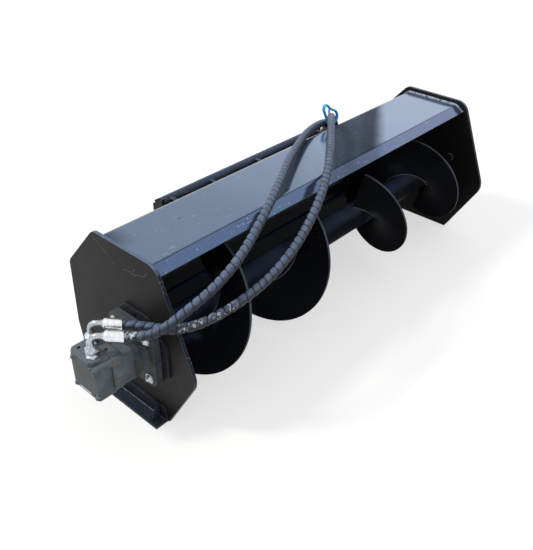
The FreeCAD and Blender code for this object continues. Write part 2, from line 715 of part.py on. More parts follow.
def make_bearing_nut(y, z):
    start = FAR_OUTER_X + BEARING_BASE_T
    nut = hexagon(BEARING_BOLT_DIA * 1.5, BEARING_NUT_T, (start, y, z), X_AXIS, BEARING_NUT_BEVEL)
    return nut.cut(rod_x(BEARING_BOLT_DIA, start, start + BEARING_BOLT_DIA, y, z))


# Mount plate: a flat back with a hook folded over its top and a toe folded out at its bottom
def make_mount_plate():
    hook = math.radians(HOOK_ANGLE)
    toe = math.radians(TOE_ANGLE)
    top = (MOUNT_FACE_Y, MOUNT_TOP)
    tip = (MOUNT_FACE_Y + MOUNT_T + HOOK_REACH * math.cos(hook), MOUNT_TOP - HOOK_REACH * math.sin(hook))
    bottom = (MOUNT_FACE_Y, MOUNT_BOTTOM)
    toe_end = (MOUNT_FACE_Y + TOE_LENGTH * math.sin(toe), MOUNT_BOTTOM - TOE_LENGTH * math.cos(toe))
    x_start = HOOD_MIDDLE_X - MOUNT_WIDTH / 2
    path = [toe_end, bottom, top, tip]
    plate = folded(path, MOUNT_T, MOUNT_BEND_R, x_start, x_start + MOUNT_WIDTH)
    for side in (-1, 1):
        centre = HOOD_MIDDLE_X + side * LATCH_SPACING / 2
        plate = plate.cut(latch_slot(centre))
    return plate


def latch_slot(centre):
    radius = LATCH_SLOT_WIDTH / 2
    reach = LATCH_SLOT_LENGTH / 2 - radius
    low_y = MOUNT_FACE_Y - 1
    middle = box(centre - reach, centre + reach, low_y, low_y + MOUNT_T + 2,
                 LATCH_SLOT_HEIGHT - radius, LATCH_SLOT_HEIGHT + radius)
    ends = []
    for side in (-1, 1):
        base = Vec(centre + side * reach, low_y, LATCH_SLOT_HEIGHT)
        ends.append(Part.makeCylinder(radius, MOUNT_T + 2, base, Y_AXIS))
    return middle.fuse(ends)


# A cheek on each end of the mount plate closes the hook's pocket
def make_cheek(side):
    inner = HOOD_MIDDLE_X + side * MOUNT_WIDTH / 2
    outer = inner + side * CHEEK_T
    tip_y = hook_tip_y() - CHEEK_SET_IN
    tip_z = MOUNT_TOP - HOOK_REACH * math.sin(math.radians(HOOK_ANGLE))
    low_z = MOUNT_TOP - CHEEK_DROP
    corners = [
        (MOUNT_FACE_Y, MOUNT_TOP - 2 * CHEEK_SET_IN, 0), (tip_y, tip_z - CHEEK_SET_IN, 0),
        (tip_y, low_z, CHEEK_CORNER_R), (MOUNT_FACE_Y, low_z - CHEEK_SLOPE_DROP, 0)]
    return prism(corners, min(inner, outer), max(inner, outer))


# A rib fills the space between the hood's back and the mount plate
def make_rib(offset, filling):
    centre = HOOD_MIDDLE_X + offset
    corners = [
        (TOP_DEPTH, RIB_TOP, 0), (MOUNT_FACE_Y, RIB_TOP, 0),
        (MOUNT_FACE_Y, RIB_BOTTOM, 0), (REAR_DEPTH - SHEET_INSET - SHEET_T, RIB_BOTTOM + RIB_RISE, 0)]
    rib = prism(corners, centre - RIB_T / 2, centre + RIB_T / 2).cut(filling)
    return largest(rib)


# Fittings on one port: adapter, swivel nut, bent tube and ferrule
def direction(angle):
    return Vec(math.cos(math.radians(angle)), math.sin(math.radians(angle)), 0)


def make_port_adapter(port):
    depth = PORT_DEPTH - ADAPTER_STEM_GAP
    stem = Part.makeCylinder(PORT_DIA / 2, depth + ADAPTER_HEX_HEIGHT, Vec(port[0], port[1], DECK_Z - depth))
    flats = hexagon(ADAPTER_HEX, ADAPTER_HEX_HEIGHT, (port[0], port[1], DECK_Z), Z_AXIS, 1)
    top = Vec(port[0], port[1], DECK_Z + ADAPTER_HEX_HEIGHT)
    return stem.fuse([flats, Part.makeCylinder(PORT_DIA / 2 - 1, ADAPTER_STEM, top)])


def nut_base():
    return DECK_Z + ADAPTER_HEX_HEIGHT + NUT_GAP


def make_swivel_nut(port):
    base = nut_base()
    nut = hexagon(NUT_HEX, NUT_HEIGHT, (port[0], port[1], base), Z_AXIS, 1)
    adapter_bore = Part.makeCylinder(PORT_DIA / 2 - 1, ADAPTER_STEM - NUT_GAP, Vec(port[0], port[1], base))
    tube_bore = Part.makeCylinder(TUBE_DIA / 2, NUT_HEIGHT, Vec(port[0], port[1], base))
    return nut.cut([adapter_bore, tube_bore])


def make_hose_tube(port, angle):
    start = Vec(port[0], port[1], nut_base() + ADAPTER_STEM - NUT_GAP)
    corner = Vec(port[0], port[1], DECK_Z + ELBOW_RISE)
    end = corner + direction(angle) * FERRULE_START
    tube, _ = bent_tube([start, corner, end], [TUBE_BEND_R], TUBE_DIA)
    along = direction(angle)
    collar_start = end - along * TUBE_COLLAR_LENGTH
    collar = Part.makeCylinder(TUBE_DIA / 2 + TUBE_COLLAR, TUBE_COLLAR_LENGTH, collar_start, along)
    return tube.fuse(collar)


def make_ferrule(start, along):
    radius = FERRULE_DIA / 2
    taper = FERRULE_TAPER
    body = Part.makeCylinder(radius, FERRULE_LENGTH - 2 * taper, start + along * taper, along)
    lead = Part.makeCone(radius - taper, radius, taper, start, along)
    lip = Part.makeCone(radius, radius - FERRULE_LIP, taper, start + along * (FERRULE_LENGTH - taper), along)
    return body.fuse([lead, lip])


def ferrule_start(port, angle):
    return Vec(port[0], port[1], DECK_Z + ELBOW_RISE) + direction(angle) * FERRULE_START


def hose_exit(port, angle):
    return ferrule_start(port, angle) + direction(angle) * FERRULE_LENGTH


# A round tube along straight runs joined by tangent arcs, with its centre line's length
def bent_tube(points, radii, diameter):
    rim = Part.makeCircle(diameter / 2, points[0], unit(points[1] - points[0]))
    walls = [Part.Face(Part.Wire(rim))]
    here = points[0]
    length = 0.0
    for i in range(1, len(points)):
        before = unit(points[i] - points[i - 1])
        is_last = i == len(points) - 1
        after = before if is_last else unit(points[i + 1] - points[i])
        turn = before.getAngle(after)
        back = 0.0 if is_last else radii[i - 1] * math.tan(turn / 2)
        run = points[i] - before * back - here
        walls.append(rim.extrude(run))
        rim = rim.copy()
        rim.translate(run)
        length += run.Length
        if is_last:
            break
        axis = unit(before.cross(after))
        centre = here + run + axis.cross(before) * radii[i - 1]
        walls.append(rim.revolve(centre, axis, math.degrees(turn)))
        rim = rim.copy()
        rim.rotate(centre, axis, math.degrees(turn))
        length += radii[i - 1] * turn
        here = points[i] + after * back
    walls.append(Part.Face(Part.Wire(rim)))
    return closed_solid(walls), length


def closed_solid(walls):
    shell = Part.makeShell(walls)
    shell.sewShape()
    solid = Part.Solid(Part.Shell(shell.Faces))
    if solid.Volume < 0:
        solid.reverse()
    return solid


def arc_radii(points):
    radii = []
    for i in range(1, len(points) - 1):
        before = points[i - 1] - points[i]
        after = points[i + 1] - points[i]
        half_turn = (math.pi - before.getAngle(after)) / 2
        radii.append(0.45 * min(before.Length, after.Length) / math.tan(half_turn))
    return radii


def hose_points(exit_point, angle, lead, points):
    return [exit_point, exit_point + direction(angle) * lead] + [Vec(*point) for point in points]


def make_hose(name, points):
    radii = arc_radii(points)
    hose, length = bent_tube(points, radii, HOSE_DIA)
    expected = math.pi * HOSE_DIA ** 2 / 4 * length
    print(name, "length", round(length), "volume ratio", round(hose.Volume / expected, 4))
    print("  arc radii", [round(radius) for radius in radii])
    return hose


# The free end of a hose: a coupler half in line with the last run
def make_coupler(start, along):
    neck = Part.makeCylinder(COUPLER_NECK_DIA / 2, COUPLER_NECK_LENGTH, start, along)
    hex_start = start + along * COUPLER_NECK_LENGTH
    flats = hexagon(COUPLER_HEX, COUPLER_HEX_LENGTH, tuple(hex_start), along, 1)
    barrel_start = hex_start + along * COUPLER_HEX_LENGTH
    barrel = Part.makeCylinder(COUPLER_DIA / 2, COUPLER_LENGTH, barrel_start, along)
    face_start = barrel_start + along * COUPLER_LENGTH
    face = Part.makeCylinder(COUPLER_FACE_DIA / 2, COUPLER_FACE_LENGTH, face_start, along)
    return neck.fuse([flats, barrel, face])


# Dust-cap strap: a ring round the hose between two points of its route, and a pull loop
# that stands up beside it
def make_cap_strap(start, end):
    centre = (start + end) * 0.5
    along = unit(end - start)
    up = unit(Z_AXIS - along * along.z)
    side = unit(up + along.cross(up) * STRAP_LEAN)
    ring_base = centre - along * (STRAP_WIDTH / 2)
    ring = Part.makeCylinder(HOSE_DIA / 2 + STRAP_T, STRAP_WIDTH, ring_base, along)
    hole = Part.makeCylinder(HOSE_DIA / 2 + STRAP_CLEARANCE, STRAP_WIDTH, ring_base, along)
    base = centre - along * (STRAP_T / 2)
    tip = base + side * LOOP_REACH
    across = side.cross(along)
    corners = [
        base + across * LOOP_R, base - across * LOOP_R,
        tip - across * LOOP_R, tip + across * LOOP_R]
    plate = Part.Face(Part.makePolygon(corners + corners[:1])).extrude(along * STRAP_T)
    loop = Part.makeCylinder(LOOP_R, STRAP_T, tip, along)
    strap = ring.fuse([plate, loop]).removeSplitter()
    return strap.cut([hole, Part.makeCylinder(LOOP_HOLE_R, STRAP_T, tip, along)])


def build_static():
    nodes = {}
    nodes["hood_sheet"] = make_hood_sheet()
    nodes["near_end_plate"] = make_near_end_plate()
    nodes["far_end_plate"] = make_far_end_plate()
    nodes["wear_bar"] = make_wear_bar()
    for name, face_x, side in (("near", 0, -1), ("far", FAR_OUTER_X, 1)):
        nodes[name + "_foot_angle"] = make_foot_angle(face_x, side)
        for place, y in (("front", FOOT_START + FOOT_GUSSET_INSET), ("rear", FOOT_END - FOOT_GUSSET_INSET)):
            nodes[name + "_foot_gusset_" + place] = make_foot_gusset(face_x, side, y)
    nodes["motor_plate"] = make_motor_plate()
    nodes["flange_housing"] = make_flange_housing()
    nodes["gear_ring"] = make_gear_ring()
    nodes["port_housing"] = make_port_housing()
    for i, (y, z) in enumerate(square_places(COVER_BOLT_SPACING)):
        seat_x = MOTOR_END_X + COVER_SEAT_DEPTH
        bolt = make_bolt(COVER_BOLT_DIA, seat_x, seat_x + COVER_BOLT_REACH, y, z, COVER_BOLT_HEAD_T, 0)
        nodes["cover_bolt_%d" % (i + 1)] = bolt
    for i, (y, z) in enumerate(square_places(FLANGE_BOLT_SPACING)):
        end_x = END_PLATE_T + FLANGE_BOLT_DIA
        bolt = make_bolt(FLANGE_BOLT_DIA, FLANGE_FACE_X, end_x, y, z, FLANGE_BOLT_HEAD_T, FLANGE_WASHER_T)
        nodes["flange_bolt_%d" % (i + 1)] = bolt
    nodes["bearing_housing"] = make_bearing_housing()
    for i, (y, z) in enumerate(square_places(BEARING_BOLT_SPACING)):
        nodes["bearing_nut_%d" % (i + 1)] = make_bearing_nut(y, z)
    nodes["mount_plate"] = make_mount_plate()
    filling = hood_filling()
    for name, side in (("near", -1), ("far", 1)):
        nodes["hook_cheek_" + name] = make_cheek(side)
    for i, offset in enumerate(RIB_OFFSETS):
        nodes["mount_rib_%d" % (i + 1)] = make_rib(offset, filling)
    return nodes


def build_auger():
    return {
        "motor_shaft": make_shaft(), "shaft_key": key_solid(), "drive_hub": make_hub(),
        "auger_pipe": make_auger_pipe(), "left_flight": make_left_flight(),
        "right_flight": make_right_flight(), "stub_shaft": make_stub_shaft(),
        "bearing_ring": make_bearing_ring()}


def build_hydraulics():
    nodes = {}
    lines = (
        ("1", PORT_A, ELBOW_A_ANGLE, HOSE_1_LEAD, HOSE_1_POINTS),
        ("2", PORT_B, ELBOW_B_ANGLE, HOSE_2_LEAD, HOSE_2_POINTS))
    for name, port, angle, lead, route in lines:
        nodes["port_adapter_" + name] = make_port_adapter(port)
        nodes["swivel_nut_" + name] = make_swivel_nut(port)
        nodes["hose_tube_" + name] = make_hose_tube(port, angle)
        nodes["hose_ferrule_" + name] = make_ferrule(ferrule_start(port, angle), direction(angle))
        points = hose_points(hose_exit(port, angle), angle, lead, route)
        nodes["hose_" + name] = make_hose("hose_" + name, points)
        along = unit(points[-1] - points[-2])
        nodes["end_ferrule_" + name] = make_ferrule(points[-1], along)
        nodes["coupler_" + name] = make_coupler(points[-1] + along * FERRULE_LENGTH, along)
        if name == "2":
            nodes["dust_cap_strap"] = make_cap_strap(points[18], points[19])
    return nodes


# The middle of the footprint without the loose hoses, where the written part has its origin
def footprint_middle(nodes):
    low_x = nodes["cover_bolt_1"].BoundBox.XMin
    high_x = nodes["stub_shaft"].BoundBox.XMax
    low_y = nodes["near_end_plate"].BoundBox.YMin
    high_y = nodes["mount_plate"].BoundBox.YMax
    return Vec((low_x + high_x) / 2, (low_y + high_y) / 2, 0)


def main():
    os.makedirs("parts", exist_ok=True)
    nodes = {}
    nodes.update(build_static())
    nodes.update(build_auger())
    nodes.update(build_hydraulics())
    origin = footprint_middle(nodes)
    for name, shape in nodes.items():
        shape.translate(-origin)
        if not shape.isValid():
            print("not valid:", name)
        shape.exportStep("parts/" + name + ".step")
    print(len(nodes), "nodes, origin moved from", round(origin.x, 3), round(origin.y, 3))


main()
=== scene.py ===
# Looks for an auger backfiller: worn black paint, dusty steel, zinc fittings and guarded hoses,
# with sky sheen, sunlight, highlights and shade painted into some of their colours.
# Places given in millimetres are measured from the near end plate's outer face, the top
# front corner line and the ground, as in the part's own drawing.
import json
import math

import bpy
from mathutils import Matrix, Vector, noise


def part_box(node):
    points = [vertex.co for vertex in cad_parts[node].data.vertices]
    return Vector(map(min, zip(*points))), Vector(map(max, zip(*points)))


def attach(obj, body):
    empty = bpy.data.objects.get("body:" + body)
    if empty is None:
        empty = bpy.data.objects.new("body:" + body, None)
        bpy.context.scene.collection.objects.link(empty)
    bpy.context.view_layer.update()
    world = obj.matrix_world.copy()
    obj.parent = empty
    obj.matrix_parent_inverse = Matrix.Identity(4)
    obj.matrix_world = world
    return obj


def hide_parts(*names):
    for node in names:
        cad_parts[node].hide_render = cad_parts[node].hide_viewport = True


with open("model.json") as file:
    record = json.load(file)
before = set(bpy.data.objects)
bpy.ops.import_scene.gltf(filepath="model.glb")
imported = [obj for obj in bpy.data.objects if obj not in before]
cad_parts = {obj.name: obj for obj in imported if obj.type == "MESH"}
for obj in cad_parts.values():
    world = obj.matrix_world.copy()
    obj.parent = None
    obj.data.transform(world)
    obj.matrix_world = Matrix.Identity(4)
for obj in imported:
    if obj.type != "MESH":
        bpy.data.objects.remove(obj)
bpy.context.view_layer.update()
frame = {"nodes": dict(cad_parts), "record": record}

MM = 0.001
AXIS_OFFSET = 73 * MM
pipe_low, pipe_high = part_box("auger_pipe")
AXIS_Y = (pipe_low.y + pipe_high.y) / 2
AXIS_Z = (pipe_low.z + pipe_high.z) / 2
ORIGIN = Vector((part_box("motor_plate")[1].x, AXIS_Y - AXIS_OFFSET, 0))
PIPE_RADIUS = (pipe_high.z - pipe_low.z) / 2
flight_low, flight_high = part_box("left_flight")
FLIGHT_RADIUS = (flight_high.z - flight_low.z) / 2


def place(x, y, z):
    return ORIGIN + Vector((x, y, z)) * MM


# Camera: the photograph's own viewpoint, worked out from the hood's edges
LENS = 46.04
SENSOR_WIDTH = 36
NEAREST_SEEN = 0.01
FURTHEST_SEEN = 50
CAMERA_PLACE = (-689.0, -917.4, 1192.5)
CAMERA_YAW = math.radians(47.856)
CAMERA_PITCH = math.radians(34.787)
CAMERA_ROLL = math.radians(0.579)


def make_camera():
    data = bpy.data.cameras.new("camera")
    data.lens = LENS
    data.sensor_width = SENSOR_WIDTH
    data.clip_start = NEAREST_SEEN
    data.clip_end = FURTHEST_SEEN
    forward = Vector((math.sin(CAMERA_YAW) * math.cos(CAMERA_PITCH),
                      math.cos(CAMERA_YAW) * math.cos(CAMERA_PITCH), -math.sin(CAMERA_PITCH)))
    level = Vector((math.cos(CAMERA_YAW), -math.sin(CAMERA_YAW), 0))
    above = level.cross(forward)
    right = level * math.cos(CAMERA_ROLL) + above * math.sin(CAMERA_ROLL)
    up = above * math.cos(CAMERA_ROLL) - level * math.sin(CAMERA_ROLL)
    camera = bpy.data.objects.new("camera", data)
    rotation = Matrix((right, up, -forward)).transposed()
    camera.matrix_world = Matrix.Translation(place(*CAMERA_PLACE)) @ rotation.to_4x4()
    bpy.context.scene.collection.objects.link(camera)
    bpy.context.scene.camera = camera


# Hose routes, the same points as the solid tubes. A port gives where its elbow
# turns, the way it then points in degrees, and how far the hose runs straight.
HOSE_DIA = 21 * MM
FERRULE_LENGTH = 42
FERRULE_START = 30
ELBOW_HEIGHT = 293
PORTS = {"1": ((-126, 66), -49, 36), "2": ((-101, 101), -53, 40)}
ROUTES = {
    "1": [
        (-42, -45, 312), (-27, -64, 332), (-5, -76, 349), (28, -83, 363), (68, -86, 376),
        (114, -82, 388), (165, -69, 398), (220, -49, 408), (290, -21, 426), (369, 17, 437),
        (446, 61, 440), (516, 104, 438), (579, 139, 433), (636, 169, 428), (688, 195, 424),
        (737, 213, 421), (789, 230, 413), (843, 252, 397), (896, 282, 370), (943, 318, 335),
        (973, 354, 289), (985, 382, 236), (989, 400, 179), (993, 411, 123), (1007, 427, 75),
        (1031, 455, 38), (1062, 491, 17.5), (1094, 531, 17.5)],
    "2": [
        (-19, -20, 296), (-14, -49, 304), (-1, -73, 314), (22, -93, 321), (54, -105, 326),
        (98, -110, 329), (150, -111, 333), (208, -109, 341), (272, -103, 357), (345, -89, 382),
        (435, -60, 419), (522, -14, 444), (602, 41, 458), (671, 94, 464), (727, 138, 464),
        (776, 176, 454), (820, 210, 434), (865, 239, 408), (914, 266, 373), (960, 295, 328),
        (994, 324, 275), (1012, 343, 218), (1019, 354, 158), (1027, 364, 103), (1046, 382, 56),
        (1078, 410, 26), (1118, 439, 17.5), (1160, 470, 17.5)]}


def elbow_direction(angle):
    return Vector((math.cos(math.radians(angle)), math.sin(math.radians(angle)), 0))


def route_points(key):
    (x, y), angle, lead = PORTS[key]
    along = elbow_direction(angle)
    corner = Vector((x, y, ELBOW_HEIGHT))
    start = corner + along * (FERRULE_START + FERRULE_LENGTH)
    points = [start, start + along * lead]
    points += [Vector(point) for point in ROUTES[key]]
    return [place(*point) for point in points]


# The points along a smooth spline that has the given points as its control points
def smooth_line(points, name):
    data = bpy.data.curves.new(name, "CURVE")
    data.dimensions = "3D"
    data.resolution_u = 16
    spline = data.splines.new("NURBS")
    spline.points.add(len(points) - 1)
    for spot, point in zip(spline.points, points):
        spot.co = (*point, 1)
    spline.order_u = 3
    spline.use_endpoint_u = True
    curve = bpy.data.objects.new(name, data)
    bpy.context.scene.collection.objects.link(curve)
    bpy.context.view_layer.update()
    mesh = bpy.data.meshes.new_from_object(curve)
    line = [vertex.co.copy() for vertex in mesh.vertices]
    bpy.data.objects.remove(curve)
    bpy.data.meshes.remove(mesh)
    return line


# Even steps along a line, each with a frame that turns as little as it can
def walk(line, step):
    lengths = [0.0]
    for a, b in zip(line, line[1:]):
        lengths.append(lengths[-1] + (b - a).length)
    count = max(2, round(lengths[-1] / step))
    spots = []
    at = 0
    for i in range(count + 1):
        wanted = lengths[-1] * i / count
        while at < len(line) - 2 and lengths[at + 1] < wanted:
            at += 1
        share = (wanted - lengths[at]) / max(lengths[at + 1] - lengths[at], 1e-9)
        spots.append(line[at].lerp(line[at + 1], share))
    frames = []
    side = None
    for i, spot in enumerate(spots):
        along = (spots[min(i + 1, count)] - spots[max(i - 1, 0)]).normalized()
        if side is None:
            side = along.orthogonal().normalized()
        side = (side - along * side.dot(along)).normalized()
        frames.append((spot, along, side, along.cross(side), lengths[-1] * i / count))
    return frames


def new_object(name, verts, faces, material, body, smooth=True):
    mesh = bpy.data.meshes.new(name)
    mesh.from_pydata(verts, [], faces)
    mesh.validate()
    if smooth:
        mesh.shade_smooth()
    piece = bpy.data.objects.new(name, mesh)
    bpy.context.scene.collection.objects.link(piece)
    mesh.materials.append(material)
    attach(piece, body)
    return piece


# The faces of a tube of rings, closed at both ends
def ring_faces(rings, around):
    faces = []
    for i in range(rings - 1):
        for j in range(around):
            k = (j + 1) % around
            faces.append((i * around + j, i * around + k, (i + 1) * around + k, (i + 1) * around + j))
    faces.append(tuple(reversed(range(around))))
    faces.append(tuple(range((rings - 1) * around, rings * around)))
    return faces


# Points of one ring: a circle's or an ellipse's, given its two half axes as vectors
def ring_points(centre, first_half, second_half, around):
    points = []
    for j in range(around):
        angle = 2 * math.pi * j / around
        points.append(centre + first_half * math.cos(angle) + second_half * math.sin(angle))
    return points


class Shade:
    """One procedural material, built node by node. A mask is a share from 0 to 1."""

    def __init__(self, name, metallic=0.0, specular=0.5, roughness=0.5):
        self.material = bpy.data.materials.new(name)
        self.material.use_nodes = True
        self.tree = self.material.node_tree
        self.shader = self.tree.nodes["Principled BSDF"]
        self.shader.inputs["Roughness"].default_value = roughness
        self.shader.inputs["Metallic"].default_value = metallic
        self.shader.inputs["Specular IOR Level"].default_value = specular
        coordinates = self.node("ShaderNodeTexCoord")
        self.position = coordinates.outputs["Object"]
        self.facing = coordinates.outputs["Normal"]

    def node(self, kind, **settings):
        made = self.tree.nodes.new(kind)
        for key, value in settings.items():
            setattr(made, key, value)
        return made

    def feed(self, socket, value):
        if isinstance(value, bpy.types.NodeSocket):
            self.tree.links.new(value, socket)
        elif isinstance(value, tuple) and len(value) == 3 and socket.type == "RGBA":
            socket.default_value = (*value, 1)
        else:
            socket.default_value = value

    def math(self, operation, a, b=0.0):
        made = self.node("ShaderNodeMath", operation=operation)
        self.feed(made.inputs[0], a)
        self.feed(made.inputs[1], b)
        return made.outputs[0]

    def plus(self, a, b):
        return self.math("ADD", a, b)

    def minus(self, a, b):
        return self.math("SUBTRACT", a, b)

    def times(self, first, *others):
        for other in others:
            first = self.math("MULTIPLY", first, other)
        return first

    # A smooth step from low to high, which may run either way
    def span(self, value, low, high, out_low=0.0, out_high=1.0):
        made = self.node("ShaderNodeMapRange", interpolation_type="SMOOTHSTEP")
        self.feed(made.inputs["Value"], value)
        self.feed(made.inputs["From Min"], low)
        self.feed(made.inputs["From Max"], high)
        self.feed(made.inputs["To Min"], out_low)
        self.feed(made.inputs["To Max"], out_high)
        return made.outputs["Result"]

    # A smooth stripe: it rises over the first pair and falls over the second
    def stripe(self, value, rise, fall):
        return self.times(self.span(value, *rise), self.span(value, fall[1], fall[0]))

    def stretched(self, scale):
        made = self.node("ShaderNodeMapping")
        self.feed(made.inputs["Vector"], self.position)
        made.inputs["Scale"].default_value = scale
        return made.outputs["Vector"]

    def noise(self, scale, detail=4.0, roughness=0.55, stretch=(1, 1, 1), distortion=0.0):
        made = self.node("ShaderNodeTexNoise")
        self.feed(made.inputs["Vector"], self.stretched(stretch))
        made.inputs["Scale"].default_value = scale
        made.inputs["Detail"].default_value = detail
        made.inputs["Roughness"].default_value = roughness
        made.inputs["Distortion"].default_value = distortion
        return made.outputs["Fac"]

    # A slow wander to either side of nothing, at most half the given width
    def wander(self, scale, width, detail=3, roughness=0.6):
        return self.times(self.minus(self.noise(scale, detail, roughness), 0.5), width)

    # Round dots, one in each cell
    def dots(self, scale, outer, inner):
        made = self.node("ShaderNodeTexVoronoi", feature="F1")
        self.feed(made.inputs["Vector"], self.stretched((1, 1, 1)))
        made.inputs["Scale"].default_value = scale
        return self.span(made.outputs["Distance"], outer, inner)

    def mix(self, share, a, b):
        made = self.node("ShaderNodeMix", data_type="RGBA")
        self.feed(made.inputs[0], share)
        self.feed(made.inputs[6], a)
        self.feed(made.inputs[7], b)
        return made.outputs[2]

    def part_of(self, vector, which):
        made = self.node("ShaderNodeSeparateXYZ")
        self.feed(made.inputs[0], vector)
        return made.outputs[which]

    def distance(self, axis, start=0.0):
        return self.minus(self.part_of(self.position, axis), start)

    def looks_up(self):
        return self.part_of(self.facing, "Z")

    def looks_left(self):
        return self.times(self.part_of(self.facing, "X"), -1.0)

    # How much a place lies on a sharp edge, from the difference that rounding it would make,
    # and the rounded normal
    def edges(self, radius):
        rounded = self.node("ShaderNodeBevel", samples=4)
        rounded.inputs["Radius"].default_value = radius
        true_normal = self.node("ShaderNodeNewGeometry").outputs["True Normal"]
        dot = self.node("ShaderNodeVectorMath", operation="DOT_PRODUCT")
        self.feed(dot.inputs[0], rounded.outputs[0])
        self.feed(dot.inputs[1], true_normal)
        return self.span(self.minus(1.0, dot.outputs["Value"]), 0.02, 0.25), rounded.outputs[0]

    # Thin scratches on a face across X: each a start and an end as (y, z) millimetres
    def drawn_lines(self, lines, where):
        half_width, core, soft_end = 1.3 * MM, 0.3 * MM, 2 * MM
        y = self.distance("Y", ORIGIN.y)
        z = self.part_of(self.position, "Z")
        wander = self.wander(60.0, 6 * MM)
        total = 0.0
        for (y0, z0), (y1, z1) in lines:
            length = math.hypot(y1 - y0, z1 - z0)
            run_y, run_z = (y1 - y0) / length, (z1 - z0) / length
            from_y = self.minus(y, y0 * MM)
            from_z = self.minus(z, z0 * MM)
            along = self.plus(self.times(from_y, run_y), self.times(from_z, run_z))
            aside = self.minus(self.times(from_z, run_y), self.times(from_y, run_z))
            thin = self.span(self.math("ABSOLUTE", self.plus(aside, wander)), half_width, core)
            end = length * MM
            within = self.stripe(along, (-1 * MM, soft_end), (end - soft_end, end + 1 * MM))
            total = self.math("MAXIMUM", total, self.times(thin, within))
        patchy = self.span(self.noise(45.0, 3, 0.6), 0.30, 0.55, 0.25, 0.85)
        return self.times(total, patchy, where)

    def bump(self, height, distance, strength=1.0, normal=None):
        made = self.node("ShaderNodeBump")
        self.feed(made.inputs["Height"], height)
        made.inputs["Distance"].default_value = distance
        made.inputs["Strength"].default_value = strength
        if normal is not None:
            self.feed(made.inputs["Normal"], normal)
        return made.outputs["Normal"]

    def finish(self, colour, roughness=None, metallic=None, normal=None):
        self.feed(self.shader.inputs["Base Color"], colour)
        if roughness is not None:
            self.feed(self.shader.inputs["Roughness"], roughness)
        if metallic is not None:
            self.feed(self.shader.inputs["Metallic"], metallic)
        if normal is not None:
            self.feed(self.shader.inputs["Normal"], normal)
        return self.material


# Paint colours that more than one material uses
BLACK = (0.0075, 0.0092, 0.0135)
BLUE_BLACK = (0.010, 0.013, 0.021)
PRIMER = (0.23, 0.30, 0.42)
SOIL = (0.22, 0.17, 0.115)

# The sheet's colours: dust with a painted sky sheen, and the lip's painted sky reflection, at the near and
# the far end, and the marks on them, among them painted reflection, shade and highlight
NEAR_DUST_AND_SHEEN = (0.158, 0.216, 0.312)
FAR_DUST_AND_SHEEN = (0.340, 0.430, 0.600)
LIP_NEAR_SHEEN = (0.105, 0.163, 0.300)
LIP_FAR_SHEEN = (0.210, 0.265, 0.420)
WIPED_REFLECTION_DARK = (0.012, 0.030, 0.062)
WIPED_REFLECTION_PALE = (0.028, 0.052, 0.092)
WIPED_REFLECTION_DARKEST = (0.005, 0.012, 0.026)
WIPING_MARK = (0.36, 0.42, 0.48)
PALE_SCRATCH = (0.42, 0.48, 0.52)
BROWN_SMUDGE = (0.075, 0.055, 0.050)
PALE_FLAKE = (0.55, 0.52, 0.47)
DARKER_CORNER = (0.012, 0.018, 0.028)
FOLD_SHADE_LINE = (0.020, 0.026, 0.036)
BACK_LINE = (0.17, 0.125, 0.07)
LOWER_SLOPE_HIGHLIGHT = (0.035, 0.055, 0.115)
PALE_GRAIN = (0.32, 0.37, 0.42)

# Where marks lie on the sheet, in metres from the origin or the ground
OUTSIDE_HEIGHT = (0.380, 0.392)
WIPED_REFLECTION_START_SLOPE = 1.27
WIPED_REFLECTION_START = (0.535, 0.575)
WIPED_REFLECTION_END_SLOPE = 1.436
WIPED_REFLECTION_END = (0.800, 0.725)
DARKEST_RISE = (0.655, 0.695)
DARKEST_FALL = (0.725, 0.760)
SMUDGES_END = (0.42, 0.30)
FLAKES_ACROSS = (0.040, 0.028)
FLAKES_ALONG = (0.9, 0.4)
CORNER_ALONG = (0.075, 0.010)
CORNER_ACROSS = (0.10, 0.17)
FOLD_RISE = (0.0262, 0.0275)
FOLD_FALL = (0.0298, 0.0312)
BACK_RISE = (0.192, 0.196)
BACK_FALL = (0.200, 0.204)
SLOPE_HEIGHT = (0.2, 0.1)
